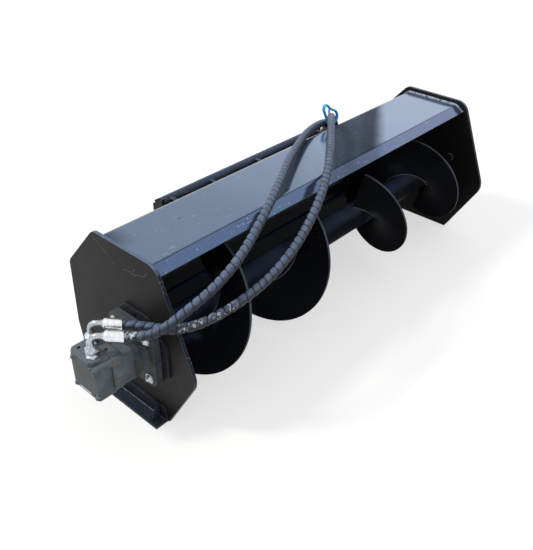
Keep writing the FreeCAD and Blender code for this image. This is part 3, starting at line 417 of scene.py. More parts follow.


# The hood sheet: dust and a painted sky sheen on the top that turn paler to the far end, a stretch of it
# wiped and painted with a dark reflection, a lip made bluer by a painted sky reflection, chips along the
# edges, and a bare black inside
def sheet_paint(name):
    shade = Shade(name, specular=0.035)
    blotch = shade.noise(5.0, 5, 0.6)
    soft = shade.noise(2.2, 3, 0.5)
    up = shade.looks_up()
    along = shade.distance("X", ORIGIN.x)
    across = shade.distance("Y", ORIGIN.y)
    height = shade.part_of(shade.position, "Z")
    outside = shade.span(height, *OUTSIDE_HEIGHT)
    colour = shade.mix(shade.span(blotch, 0.35, 0.7), BLACK, BLUE_BLACK)
    # the dust and painted sky sheen turn paler towards the far end
    drift = shade.times(shade.minus(soft, 0.5), 0.5)
    share = shade.span(shade.plus(along, drift), 0.15, 1.15)
    film = shade.span(blotch, 0.2, 0.8, 0.90, 1.0)
    # two slanting lines across the top, between which the dust is wiped away and a dark reflection is
    # painted
    streaks = shade.noise(6.0, 5, 0.62, (1.0, 1.0, 1.0), 0.3)
    uneven = shade.plus(along, shade.times(shade.minus(streaks, 0.5), 0.04))
    from_start = shade.minus(uneven, shade.times(across, WIPED_REFLECTION_START_SLOPE))
    from_end = shade.minus(uneven, shade.times(across, WIPED_REFLECTION_END_SLOPE))
    wiped_reflection_band = shade.times(shade.span(from_start, *WIPED_REFLECTION_START), shade.span(from_end, *WIPED_REFLECTION_END))
    wiped_reflection_band = shade.times(wiped_reflection_band, shade.span(soft, 0.3, 0.7, 0.95, 1.0))
    darkest = shade.stripe(from_end, DARKEST_RISE, DARKEST_FALL)
    lip = shade.times(shade.span(up, 0.35, 0.8), outside)
    top = shade.times(shade.span(up, 0.90, 0.985), outside)
    # the lip's blue is a painted sky reflection
    lip_film = shade.times(lip, film, shade.span(wiped_reflection_band, 0.0, 1.0, 1.0, 0.86))
    colour = shade.mix(lip_film, colour, shade.mix(share, LIP_NEAR_SHEEN, LIP_FAR_SHEEN))
    # the painted dark reflection between the lines, darkest along one stripe
    band_reflection = shade.mix(shade.span(streaks, 0.35, 0.7), WIPED_REFLECTION_DARK, WIPED_REFLECTION_PALE)
    band_reflection = shade.mix(shade.times(darkest, 0.6), band_reflection, WIPED_REFLECTION_DARKEST)
    dust_and_sheen = shade.mix(wiped_reflection_band, shade.mix(share, NEAR_DUST_AND_SHEEN, FAR_DUST_AND_SHEEN), band_reflection)
    colour = shade.mix(shade.times(top, film), colour, dust_and_sheen)
    # a fine weave of curved wiping marks, short pale scratches, and brown smudges
    marks = shade.span(shade.noise(26.0, 3, 0.5, (1, 5, 1), 2.5), 0.56, 0.70, 0.0, 0.07)
    colour = shade.mix(shade.times(marks, top), colour, WIPING_MARK)
    scratch = shade.span(shade.noise(38.0, 1, 0.4, (1, 9, 1), 1.2), 0.735, 0.75, 0.0, 0.5)
    colour = shade.mix(shade.times(scratch, lip), colour, PALE_SCRATCH)
    smudge = shade.span(shade.noise(34.0, 3, 0.5, (1, 2.2, 1)), 0.705, 0.74, 0.0, 0.75)
    colour = shade.mix(shade.times(smudge, top, shade.span(along, *SMUDGES_END)), colour, BROWN_SMUDGE)
    # pale flakes scattered along the lip's upper edge and over the lip
    flake = shade.dots(110.0, 0.22, 0.14)
    rare = shade.span(shade.noise(13.0, 3, 0.6), 0.46, 0.54)
    by_lip = shade.times(lip, shade.span(across, *FLAKES_ACROSS))
    flakes = shade.times(shade.times(flake, rare), by_lip)
    colour = shade.mix(shade.times(flakes, shade.span(along, *FLAKES_ALONG)), colour, PALE_FLAKE)
    # a darker corner by the near plate
    corner = shade.times(shade.span(along, *CORNER_ALONG), shade.span(across, *CORNER_ACROSS))
    colour = shade.mix(shade.times(corner, top, 0.7), colour, DARKER_CORNER)
    # painted shade: a thin dark line along the fold above the lip
    fold = shade.stripe(across, FOLD_RISE, FOLD_FALL)
    colour = shade.mix(shade.times(fold, outside, 0.7), colour, FOLD_SHADE_LINE)
    # brown line where the top ends at the back
    back = shade.stripe(across, BACK_RISE, BACK_FALL)
    rusty = shade.span(shade.noise(20.0, 4, 0.6), 0.3, 0.6, 0.35, 0.9)
    colour = shade.mix(shade.times(back, rusty, outside), colour, BACK_LINE)
    # chipped edges, specks of soil, a painted bluish highlight on the lower slope inside, and a fine grain
    edge, round_normal = shade.edges(1.6 * MM)
    broken = shade.span(shade.noise(55.0, 6, 0.7), 0.50, 0.58)
    colour = shade.mix(shade.times(edge, broken), colour, PRIMER)
    seldom = shade.span(shade.noise(9.0, 3, 0.6), 0.62, 0.67)
    colour = shade.mix(shade.times(shade.dots(60.0, 0.12, 0.07), seldom), colour, SOIL)
    slope = shade.times(shade.span(up, 0.3, 0.7), shade.span(height, *SLOPE_HEIGHT))
    colour = shade.mix(shade.times(slope, 0.8), colour, LOWER_SLOPE_HIGHLIGHT)
    grain = shade.span(shade.noise(160.0, 3, 0.6), 0.62, 0.75, 0.0, 0.22)
    colour = shade.mix(shade.times(grain, lip), colour, PALE_GRAIN)
    # the outside is a strong gloss that mirrors the hoses, but not over the painted dark reflection
    gloss = shade.times(lip, shade.span(wiped_reflection_band, 0.0, 1.0, 0.78, 0.0))
    roughness = shade.span(blotch, 0.2, 0.8, 0.10, 0.19)
    normal = shade.bump(shade.noise(90.0, 4, 0.5), 0.2 * MM, 0.3, round_normal)
    return shade.finish(colour, roughness, gloss, normal)


# What lies on the black paint, and the sunlight, sky light and sheen painted on it
BROWN_DUST_AND_SUNLIGHT = (0.0145, 0.0130, 0.0125)
FRONT_SKY_TINT = (0.022, 0.029, 0.048)
TOP_DUST_AND_SHEEN = (0.135, 0.19, 0.29)
MOUNT_DUST_AND_SHEEN = (0.040, 0.064, 0.125)
GREY_GRAIN = (0.20, 0.20, 0.20)
PALE_BLUE = (0.36, 0.42, 0.50)
RUST = (0.20, 0.085, 0.03)
FINE_SCRATCH = (0.11, 0.12, 0.14)
LONG_SCRATCH = (0.115, 0.135, 0.160)


# Black paint with what lies on it, and painted light: dust and a painted sky sheen where it faces up,
# brown dust and painted sunlight where it faces the motor's side, a painted bluish sky tint where it
# faces the front, chips on the edges, scratches and specks of rust
def black_paint(name, chips=0.55, top_dust_and_sheen=1.0, side_dust_and_sun=1.0, top_colour=TOP_DUST_AND_SHEEN, scratches=(),
                specular=0.15):
    shade = Shade(name, specular=specular)
    blotch = shade.noise(5.0, 5, 0.6)
    up = shade.looks_up()
    front = shade.times(shade.part_of(shade.facing, "Y"), -1.0)
    colour = shade.mix(shade.span(blotch, 0.35, 0.7), BLACK, BLUE_BLACK)
    # brown dust and painted sunlight on the faces that look to the motor's side
    side = shade.times(shade.span(shade.looks_left(), 0.6, 0.95), shade.span(blotch, 0.2, 0.7, 0.8, 1.0))
    colour = shade.mix(shade.times(side, side_dust_and_sun), colour, BROWN_DUST_AND_SUNLIGHT)
    # a painted bluish sky tint on the faces that look to the front
    colour = shade.mix(shade.span(front, 0.5, 0.9, 0.0, 0.8), colour, FRONT_SKY_TINT)
    # dust and a painted sky sheen on the faces that look up
    top = shade.times(shade.span(up, 0.45, 0.9), shade.span(blotch, 0.25, 0.75, 0.8, 1.0))
    colour = shade.mix(shade.times(top, top_dust_and_sheen), colour, top_colour)
    grain = shade.span(shade.noise(160.0, 3, 0.6), 0.60, 0.75, 0.0, 0.10)
    colour = shade.mix(grain, colour, GREY_GRAIN)
    edge, round_normal = shade.edges(1.8 * MM)
    broken = shade.span(shade.noise(70.0, 6, 0.75), 0.60 - 0.22 * chips, 0.66 - 0.22 * chips)
    colour = shade.mix(shade.times(edge, broken), colour, PRIMER)
    rim = shade.math("MAXIMUM", shade.span(front, 0.4, 0.8), shade.span(up, 0.4, 0.8))
    patches = shade.span(shade.noise(26.0, 4, 0.6), 0.44, 0.56)
    flake = shade.times(shade.dots(210.0, 0.30, 0.18), patches)
    colour = shade.mix(shade.times(flake, rim, chips), colour, PALE_BLUE)
    rare = shade.span(shade.noise(11.0, 3, 0.6), 0.60, 0.66)
    colour = shade.mix(shade.times(shade.dots(70.0, 0.11, 0.06), rare), colour, RUST)
    scratch = shade.span(shade.noise(24.0, 2, 0.5, (1, 1, 12), 0.9), 0.715, 0.735, 0.0, 0.30)
    colour = shade.mix(scratch, colour, FINE_SCRATCH)
    if scratches:
        colour = shade.mix(shade.drawn_lines(scratches, side), colour, LONG_SCRATCH)
    roughness = shade.span(blotch, 0.2, 0.8, 0.30, 0.5)
    normal = shade.bump(shade.noise(90.0, 4, 0.5), 0.25 * MM, 0.35, round_normal)
    return shade.finish(colour, roughness, None, normal)


# The auger's colours and the radii between which they change
AUGER_DARK = (0.0080, 0.0092, 0.0140)
AUGER_PALE = (0.0135, 0.0150, 0.0215)
AUGER_SUNLIT_TONE = (0.0095, 0.0102, 0.0135)
PIPE_TOP_HIGHLIGHT = (0.050, 0.066, 0.125)
PIPE_HIGHLIGHT_STREAK = (0.110, 0.140, 0.220)
ROOT_GLARE = (0.055, 0.072, 0.125)
PIPE_DIRT = (0.045, 0.034, 0.027)
RIM_STEEL = (0.105, 0.120, 0.155)
ROOT_RADII = (80 * MM, 45 * MM)
PIPE_RADII = (PIPE_RADIUS + 1 * MM, PIPE_RADIUS + 0.5 * MM)
RIM_RADII = (FLIGHT_RADIUS - 0.9 * MM, FLIGHT_RADIUS - 0.3 * MM)


# The auger: the same paint rubbed by soil, bright on the flights' outer edges, with painted sky highlights
# on the pipe's top and at the flights' roots, and a painted sunlit tone where it faces the near end
def auger_paint(name):
    shade = Shade(name, specular=0.006)
    blotch = shade.noise(9.0, 5, 0.6)
    across = shade.distance("Y", AXIS_Y)
    height = shade.distance("Z", AXIS_Z)
    radius = shade.math("SQRT", shade.plus(shade.times(across, across), shade.times(height, height)))
    up = shade.looks_up()
    colour = shade.mix(shade.span(blotch, 0.3, 0.7), AUGER_DARK, AUGER_PALE)
    # a painted sunlit tone on the faces that look to the near end
    colour = shade.mix(shade.span(shade.looks_left(), 0.1, 0.8, 0.0, 0.5), colour, AUGER_SUNLIT_TONE)
    pipe = shade.span(radius, *PIPE_RADII)
    # painted sky highlights along the pipe's top, brightest in streaks
    colour = shade.mix(shade.times(pipe, shade.span(up, 0.35, 1.0), 0.8), colour, PIPE_TOP_HIGHLIGHT)
    highlight_streak = shade.times(shade.span(up, 0.55, 0.95), shade.span(shade.noise(3.2, 2, 0.5), 0.46, 0.58))
    colour = shade.mix(shade.times(pipe, highlight_streak), colour, PIPE_HIGHLIGHT_STREAK)
    # painted glare on the flights' faces near the pipe
    root = shade.times(shade.span(radius, *ROOT_RADII), shade.span(shade.noise(6.5, 3, 0.55), 0.50, 0.64))
    glare = shade.times(root, shade.span(shade.part_of(shade.facing, "Y"), 0.2, -0.4, 0.25, 0.9))
    colour = shade.mix(glare, colour, ROOT_GLARE)
    dirt = shade.span(shade.noise(14.0, 6, 0.65, (1, 2.5, 2.5)), 0.56, 0.68, 0.0, 0.45)
    colour = shade.mix(shade.times(dirt, pipe), colour, PIPE_DIRT)
    worn = shade.span(shade.noise(18.0, 4, 0.6), 0.3, 0.6, 0.55, 1.0)
    colour = shade.mix(shade.times(shade.span(radius, *RIM_RADII), worn), colour, RIM_STEEL)
    outer = shade.span(radius, ROOT_RADII[0], FLIGHT_RADIUS, 0.0, 0.8)
    rare = shade.span(shade.noise(8.0, 3, 0.6), 0.55, 0.62)
    colour = shade.mix(shade.times(shade.dots(60.0, 0.10, 0.05), outer, rare), colour, SOIL)
    roughness = shade.span(blotch, 0.2, 0.8, 0.25, 0.45)
    normal = shade.bump(shade.noise(70.0, 4, 0.55), 0.25 * MM, 0.3)
    return shade.finish(colour, roughness, None, normal)


# The castings' colours, and the joints between the motor's sections, in millimetres along X
CASTING_DARK = (0.078, 0.100, 0.122)
CASTING_PALE = (0.190, 0.222, 0.250)
CASTING_END_DARK = (0.026, 0.028, 0.029)
CASTING_END_PALE = (0.048, 0.052, 0.056)
CASTING_TOP_SHEEN = (0.155, 0.190, 0.230)
CASTING_EDGE = (0.40, 0.48, 0.56)
RUST_RUN = (0.24, 0.125, 0.045)
RUST_DOT = (0.28, 0.17, 0.08)
RUST_JOINT = (0.19, 0.105, 0.042)
CASTING_JOINTS = (-105, -82, -41)


# Painted castings of the motor: dark blue-grey with a rough skin, a painted sky sheen where they face up,
# rust in the joints and specks
def casting_paint(name, level=1.0, rust=1.0):
    shade = Shade(name, specular=0.25)
    blotch = shade.noise(22.0, 5, 0.6)

    def tone(colour):
        return tuple(part * level for part in colour)

    colour = shade.mix(shade.span(blotch, 0.3, 0.7), tone(CASTING_DARK), tone(CASTING_PALE))
    end = shade.mix(shade.span(blotch, 0.4, 0.6), tone(CASTING_END_DARK), tone(CASTING_END_PALE))
    colour = shade.mix(shade.span(shade.looks_left(), 0.6, 0.95, 0.0, 0.7), colour, end)
    # a painted sky sheen on the faces that look up
    colour = shade.mix(shade.span(shade.looks_up(), 0.5, 0.95, 0.0, 0.8), colour, tone(CASTING_TOP_SHEEN))
    edge, round_normal = shade.edges(1.5 * MM)
    colour = shade.mix(shade.times(edge, 0.75), colour, tone(CASTING_EDGE))
    run = shade.span(shade.noise(60.0, 5, 0.7, (1, 1, 0.25)), 0.58, 0.64, 0.0, rust)
    rare = shade.span(shade.noise(16.0, 3, 0.5), 0.50, 0.56)
    colour = shade.mix(shade.times(run, rare), colour, RUST_RUN)
    dots = shade.times(shade.dots(150.0, 0.20, 0.12), shade.span(shade.noise(30.0), 0.5, 0.58))
    colour = shade.mix(dots, colour, RUST_DOT)
    along = shade.plus(shade.part_of(shade.position, "X"), shade.wander(70.0, 5 * MM))
    patchy = shade.span(shade.noise(26.0, 4, 0.6), 0.42, 0.56)
    for joint in CASTING_JOINTS:
        away = shade.math("ABSOLUTE", shade.minus(along, place(joint, 0, 0).x))
        line = shade.times(shade.span(away, 1.9 * MM, 0.5 * MM), patchy)
        colour = shade.mix(shade.times(line, 0.9), colour, RUST_JOINT)
    roughness = shade.span(blotch, 0.2, 0.8, 0.42, 0.65)
    normal = shade.bump(shade.noise(420.0, 3, 0.6), 0.25 * MM, 0.5, round_normal)
    return shade.finish(colour, roughness, None, normal)


# Metals: zinc on the fittings and bolts, brighter on the ferrules, turned steel, and welds
ZINC_DARK = (0.36, 0.41, 0.45)
ZINC_PALE = (0.62, 0.68, 0.73)
ZINC_EDGE = (0.92, 0.94, 0.95)
ZINC_PAINTED_SHADE = (0.075, 0.088, 0.105)
ZINC_GRIME = (0.20, 0.18, 0.15)
BRIGHT_DARK = (0.74, 0.77, 0.80)
BRIGHT_PALE = (0.88, 0.90, 0.92)
STEEL_DARK = (0.32, 0.32, 0.33)
STEEL_PALE = (0.48, 0.48, 0.48)
STEEL_STAIN = (0.12, 0.08, 0.05)
WELD_DARK = (0.012, 0.014, 0.020)
WELD_PALE = (0.050, 0.062, 0.090)
WELD_CHIP = (0.36, 0.44, 0.56)
WELD_RUST = (0.19, 0.10, 0.05)


def zinc(name, dark=ZINC_DARK, pale=ZINC_PALE, grime_level=0.6, shade_share=0.8):
    shade = Shade(name, metallic=0.85)
    blotch = shade.noise(45.0, 4, 0.6)
    colour = shade.mix(shade.span(blotch, 0.3, 0.7), dark, pale)
    edge, round_normal = shade.edges(0.8 * MM)
    colour = shade.mix(shade.times(edge, 0.5), colour, ZINC_EDGE)
    # painted shade: darker where a face looks down or to the far end, so rounds and hexagons read as such
    away = shade.minus(shade.part_of(shade.facing, "X"), shade.looks_up())
    colour = shade.mix(shade.span(away, -0.55, 0.55, 0.0, shade_share), colour, ZINC_PAINTED_SHADE)
    grime = shade.span(shade.noise(120.0, 5, 0.7), 0.62, 0.74, 0.0, grime_level)
    colour = shade.mix(grime, colour, ZINC_GRIME)
    roughness = shade.span(blotch, 0.2, 0.8, 0.18, 0.32)
    return shade.finish(colour, roughness, None, round_normal)


def machined(name):
    shade = Shade(name, metallic=0.9)
    lines = shade.noise(300.0, 2, 0.5, (1, 0.1, 0.1))
    colour = shade.mix(shade.span(lines, 0.3, 0.7), STEEL_DARK, STEEL_PALE)
    stain = shade.span(shade.noise(30.0, 5, 0.6), 0.55, 0.7, 0.0, 0.7)
    colour = shade.mix(stain, colour, STEEL_STAIN)
    return shade.finish(colour, shade.span(lines, 0.2, 0.8, 0.28, 0.45))


def weld_metal(name, level=1.0):
    shade = Shade(name, metallic=0.1)
    blotch = shade.noise(60.0, 5, 0.65)
    colour = shade.mix(shade.span(blotch, 0.35, 0.65), WELD_DARK, WELD_PALE)
    chip = shade.span(shade.noise(85.0, 6, 0.75), 0.42, 0.50)
    colour = shade.mix(chip, colour, tuple(part * level for part in WELD_CHIP))
    rust = shade.span(shade.noise(38.0, 5, 0.7), 0.62, 0.68)
    colour = shade.mix(rust, colour, WELD_RUST)
    normal = shade.bump(shade.noise(260.0, 3, 0.6), 0.5 * MM, 0.6)
    return shade.finish(colour, shade.span(blotch, 0.2, 0.8, 0.35, 0.6), None, normal)


# Plastic, rubber and film
GUARD_DARK = (0.012, 0.016, 0.026)
GUARD_PALE = (0.030, 0.038, 0.058)
GUARD_TOP_HIGHLIGHT = (0.150, 0.205, 0.325)
GUARD_GROOVE_SHADE = (0.003, 0.004, 0.006)
WHITE_FLECK = (0.68, 0.72, 0.78)
TAN_FLECK = (0.60, 0.55, 0.46)
LABEL_WHITE = (0.62, 0.66, 0.70)
LABEL_BLUE = (0.02, 0.20, 0.55)
LABEL_GRIME = (0.20, 0.19, 0.17)
STRAP_BLUE = (0.030, 0.45, 0.98)
STRAP_PALE_BLUE = (0.06, 0.55, 1.0)


# The hose's spiral guard: satin plastic with a painted highlight on its upper side, painted shade in the
# grooves between its turns, and a worn stretch where pale flecks show
def guard_plastic(name):
    shade = Shade(name, specular=0.3)
    groove = shade.node("ShaderNodeAttribute", attribute_name="groove").outputs["Fac"]
    worn = shade.node("ShaderNodeAttribute", attribute_name="worn").outputs["Fac"]
    up = shade.looks_up()
    scuff = shade.noise(130.0, 5, 0.65)
    colour = shade.mix(shade.span(scuff, 0.35, 0.7), GUARD_DARK, GUARD_PALE)
    crest_highlight = shade.times(shade.span(up, 0.15, 0.98), shade.span(scuff, 0.3, 0.7, 0.5, 1.0))
    colour = shade.mix(crest_highlight, colour, GUARD_TOP_HIGHLIGHT)
    patches = shade.times(shade.span(shade.noise(48.0, 2, 0.5), 0.43, 0.52), shade.span(up, -0.2, 0.3))
    fleck = shade.times(shade.span(shade.noise(120.0, 4, 0.7), 0.50, 0.54), worn, patches)
    fleck_colour = shade.mix(shade.span(shade.noise(60.0, 2), 0.54, 0.66), WHITE_FLECK, TAN_FLECK)
    colour = shade.mix(fleck, colour, fleck_colour)
    # painted shade in the grooves between the turns
    colour = shade.mix(shade.span(groove, 0.12, 0.60), colour, GUARD_GROOVE_SHADE)
    normal = shade.bump(scuff, 0.3 * MM, 0.4)
    return shade.finish(colour, shade.span(scuff, 0.2, 0.8, 0.35, 0.55), None, normal)


# The label's lower half is blue, its upper half white, and both are grimy
LABEL_BOTTOM = 151.6 * MM
LABEL_TOP = 158.6 * MM
LABEL_CHANGE = (154.4 * MM, 154.0 * MM)


def label_film(name):
    shade = Shade(name, specular=0.3)
    grime = shade.noise(140.0, 4, 0.6)
    blue = shade.span(shade.part_of(shade.position, "Z"), *LABEL_CHANGE)
    colour = shade.mix(blue, LABEL_WHITE, LABEL_BLUE)
    colour = shade.mix(shade.span(grime, 0.5, 0.7, 0.0, 0.5), colour, LABEL_GRIME)
    return shade.finish(colour, shade.span(grime, 0.2, 0.8, 0.3, 0.5))


def blue_rubber(name):
    shade = Shade(name)
    blotch = shade.noise(120.0, 3, 0.5)
    colour = shade.mix(shade.span(blotch, 0.3, 0.7), STRAP_BLUE, STRAP_PALE_BLUE)
    roughness = shade.span(blotch, 0.2, 0.8, 0.35, 0.5)
    return shade.finish(colour, roughness, None, shade.bump(blotch, 0.1 * MM, 0.3))


# Scratches on the near end plate, given as (y, z) pairs
PLATE_SCRATCHES = (
    ((201, 410), (155, 385)), ((142, 373), (132, 370)), ((106, 373), (83, 376)), ((83, 376), (67, 373)),
    ((67, 373), (57, 381)), ((53, 381), (37, 384)), ((37, 384), (25, 399)), ((72, 382), (64, 389)))

# Which look each material slot gets, and which a node gets whose name starts so
SLOT_LOOKS = {
    "hood_steel": "top", "black_paint": "paint", "auger_steel": "auger", "motor_paint": "casting",
    "zinc": "zinc", "machined_steel": "machined", "bearing_iron": "casting", "hose_rubber": "guard",
    "blue_rubber": "blue"}
NODE_LOOKS = {
    "near_foot": "foot", "far_foot": "foot", "near_end": "end_plate", "far_end": "end_plate",
    "motor_plate": "foot", "mount_": "mount", "hook_": "mount",
    "flange_housing": "shaded_casting", "cover_bolt": "casting"}


def make_looks():
    return {
        "paint": black_paint("worn_black_paint"),
        "foot": black_paint("foot_black_paint", chips=0.25, top_dust_and_sheen=0.16, side_dust_and_sun=0.30),
        "mount": black_paint("mount_black_paint", chips=0.4, top_dust_and_sheen=0.9, side_dust_and_sun=0.8,
                             top_colour=MOUNT_DUST_AND_SHEEN),
        "end_plate": black_paint("end_plate_black_paint", chips=1.3, scratches=PLATE_SCRATCHES,
                                 specular=0.085),
        "foot_dust": weld_metal("foot_dust_metal", level=0.30),
        "auger_weld": weld_metal("auger_weld_metal", level=0.12),
        "top": sheet_paint("dust_and_sheen_sheet_paint"),
        "auger": auger_paint("auger_paint"),
        "casting": casting_paint("casting_paint"),
        # the flange housing: the castings' paint darkened as painted shade, with less rust
        "shaded_casting": casting_paint("shaded_casting_paint", level=0.55, rust=0.3),
        "zinc": zinc("zinc_plate"),
        "ferrule": zinc("bright_zinc", BRIGHT_DARK, BRIGHT_PALE, grime_level=0.12, shade_share=0.7),
        "machined": machined("machined_steel"),
        "weld": weld_metal("weld_metal"),
        "guard": guard_plastic("guard_plastic"),
        "label": label_film("label_film"),
        "blue": blue_rubber("blue_rubber")}


def dress_nodes(looks):
    for entry in frame["record"]["subparts"]:
        node = frame["nodes"][entry["node"]]
        look = SLOT_LOOKS[entry["material_slot"]]
        for start, special in NODE_LOOKS.items():
            if entry["node"].startswith(start):
                look = special
        node.data.materials.clear()
        node.data.materials.append(looks[look])


# Hoses: a rounded band wound round the hose, with a groove between its turns. The band is
# wound more closely along the hose, its line drifts a little, and it is worn over one stretch.
GUARD_START_PITCH = 20 * MM
GUARD_END_PITCH = 12.8 * MM
GUARD_EASE = (0.40, 0.90)
GUARD_DEPTH = 3.3 * MM
GUARD_STEP = 1.15 * MM
GUARD_AROUND = 28
GROOVE_SHARE = 0.42
BAND_SHARE = 0.75
CROWN_SHARE = 0.25
DRIFT_TURNS = 0.25
DRIFTS_PER_METRE = 14
DRIFT_SEED = 3.1
DENTS_PER_METRE = 160
DENT_SHARE = 0.12
WORN_DENT_SHARE = 0.5
WORN = {"1": (-0.02, 0.040), "2": (0.085, 0.26)}
WORN_FADE = 0.02


def guard_pitch(distance):
    share = min(1.0, max(0.0, (distance - GUARD_EASE[0]) / (GUARD_EASE[1] - GUARD_EASE[0])))
    return GUARD_START_PITCH + (GUARD_END_PITCH - GUARD_START_PITCH) * share


def worn_share(key, distance):
    low, high = WORN[key]
    return max(0.0, min(1.0, (distance - low) / WORN_FADE, (high - distance) / WORN_FADE))


def make_hose(key, looks):
    line = smooth_line(route_points(key), "line_" + key)
    frames = walk(line, GUARD_STEP)
    verts = []
    grooves = []
    worn = []
    turns = 0.0
    before = 0.0
    for spot, along, side, across, distance in frames:
        turns += (distance - before) / guard_pitch(distance)
        before = distance
        drift = noise.noise(Vector((distance * DRIFTS_PER_METRE, DRIFT_SEED, float(key)))) * DRIFT_TURNS
        wear = worn_share(key, distance)
        dent = max(0.0, noise.noise(spot * DENTS_PER_METRE)) * (DENT_SHARE + WORN_DENT_SHARE * wear)
        for j in range(GUARD_AROUND):
            angle = 2 * math.pi * j / GUARD_AROUND
            turn = (turns + angle / (2 * math.pi) + drift) % 1.0
            swell = min(1.0, min(turn, 1 - turn) * 2 / GROOVE_SHARE)
            height = math.sqrt(max(0.0, 1 - (1 - swell) ** 2))
            crown = CROWN_SHARE * (1 - (2 * turn - 1) ** 2)
            radius = HOSE_DIA / 2 - GUARD_DEPTH * (1 - BAND_SHARE * height - crown) - GUARD_DEPTH * dent
            verts.append(spot + (side * math.cos(angle) + across * math.sin(angle)) * radius)
            grooves.append(1 - height)
            worn.append(wear)
    name = "hose_%s_guarded" % key
    hose = new_object(name, verts, ring_faces(len(frames), GUARD_AROUND), looks["guard"], "hood")
    for title, values in (("groove", grooves), ("worn", worn)):
        attribute = hose.data.attributes.new(title, "FLOAT", "POINT")
        attribute.data.foreach_set("value", values)
    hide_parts("hose_" + key)
    return hose, line


# A crimped ferrule, as (distance along it, depth below its radius) in millimetres: a collar at
# the tube, a smooth barrel with two faint presses, and a lip that turns in
FERRULE_RADIUS = 12.5
FERRULE_AROUND = 48
FERRULE_PROFILE = (
    (0, 3.4), (0.6, 2.2), (2.4, 1.9), (3.0, 0.7), (4.2, 0), (13, 0), (14.5, 0.25), (16, 0),
    (26, 0), (27.5, 0.25), (29, 0), (39, 0), (41, 0.5), (FERRULE_LENGTH, 1.6), (FERRULE_LENGTH, 4.5))


def make_ferrule(name, node, base, along, looks):
    side = along.orthogonal().normalized()
    across = along.cross(side)
    verts = []
    for distance, depth in FERRULE_PROFILE:
        radius = (FERRULE_RADIUS - depth) * MM
        centre = base + along * distance * MM
        verts += ring_points(centre, side * radius, across * radius, FERRULE_AROUND)
    faces = ring_faces(len(FERRULE_PROFILE), FERRULE_AROUND)
    ferrule = new_object(name, verts, faces, looks["ferrule"], "hood")
    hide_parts(node)
    return ferrule


def make_hoses(looks):
    for key in PORTS:
        (x, y), angle, _ = PORTS[key]
        along = elbow_direction(angle)
        hose, line = make_hose(key, looks)
        base = place(x, y, ELBOW_HEIGHT) + along * FERRULE_START * MM
        start_ferrule = make_ferrule("ferrule_%s_crimped" % key, "hose_ferrule_" + key, base, along, looks)
        end = line[-1]
        out = (line[-1] - line[-2]).normalized()
        end_ferrule = make_ferrule("end_ferrule_%s_crimped" % key, "end_ferrule_" + key, end, out, looks)
        if key == "2":
            make_strap(looks)


# Weld beads
WELD_AROUND = 10
WELD_STEP = 1.6 * MM
RIPPLE_PITCH = 3.4 * MM
RIPPLE_SHARE = 0.16
LUMP_SHARE = 0.22
LUMPS_PER_METRE = 60
SHEET_WELD_RADIUS = 3.5 * MM
SHEET_WELD_INSET = 1.2 * MM
FOOT_BEAD_RADIUS = 1.5 * MM
FOOT_BEAD_INSET = 4 * MM
FOOT_THICKNESS = 6 * MM
FLIGHT_WELD_RADIUS = 2.6 * MM
FLIGHT_WELD_LIFT = 0.8 * MM
FLIGHT_WELD_STEPS = 160
FLIGHT_THICKNESS = 6 * MM
PITCH = 280 * MM

# Where each flight's edge points straight back, in millimetres along X
LEFT_FLIGHT_PHASE = 459
RIGHT_FLIGHT_PHASE = 811

# The folded sheet's outer side, from the lip to the foot
SHEET_LINE = (
    (3.1, 393.2), (20, 404.6), (28, 409.6), (36, 410), (188, 410), (197, 407), (204, 401.5),
    (291, 305), (299, 294), (303, 284), (307, 130), (307, 118), (290, 12))


def weld(name, line, radius, material, body):
    frames = walk(line, WELD_STEP)
    verts = []
    for spot, along, side, across, distance in frames:
        ripple = RIPPLE_SHARE * math.cos(distance / RIPPLE_PITCH * 2 * math.pi)
        size = radius * (1 + ripple + LUMP_SHARE * noise.noise(spot * LUMPS_PER_METRE))
        verts += ring_points(spot, side * size, across * size, WELD_AROUND)
    new_object(name, verts, ring_faces(len(frames), WELD_AROUND), material, body)


def flight_start_angle(name):
    start = (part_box(name)[0].x - ORIGIN.x) / MM
    if name == "left_flight":
        return math.radians(180 - (start - LEFT_FLIGHT_PHASE) * 360 * MM / PITCH)
    return math.radians(180 + (start - RIGHT_FLIGHT_PHASE) * 360 * MM / PITCH)


# The line where a flight's near or far face meets the pipe
def flight_root(name, handed, face_offset):
    low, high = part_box(name)
    start = flight_start_angle(name)
    length = high.x - low.x - FLIGHT_THICKNESS
    radius = PIPE_RADIUS + FLIGHT_WELD_LIFT
    line = []
    for i in range(FLIGHT_WELD_STEPS + 1):
        travel = length * i / FLIGHT_WELD_STEPS
        angle = start + handed * 2 * math.pi * travel / PITCH
        line.append(Vector((low.x + travel + face_offset, AXIS_Y + radius * math.cos(angle),
                            AXIS_Z + radius * math.sin(angle))))
    return line


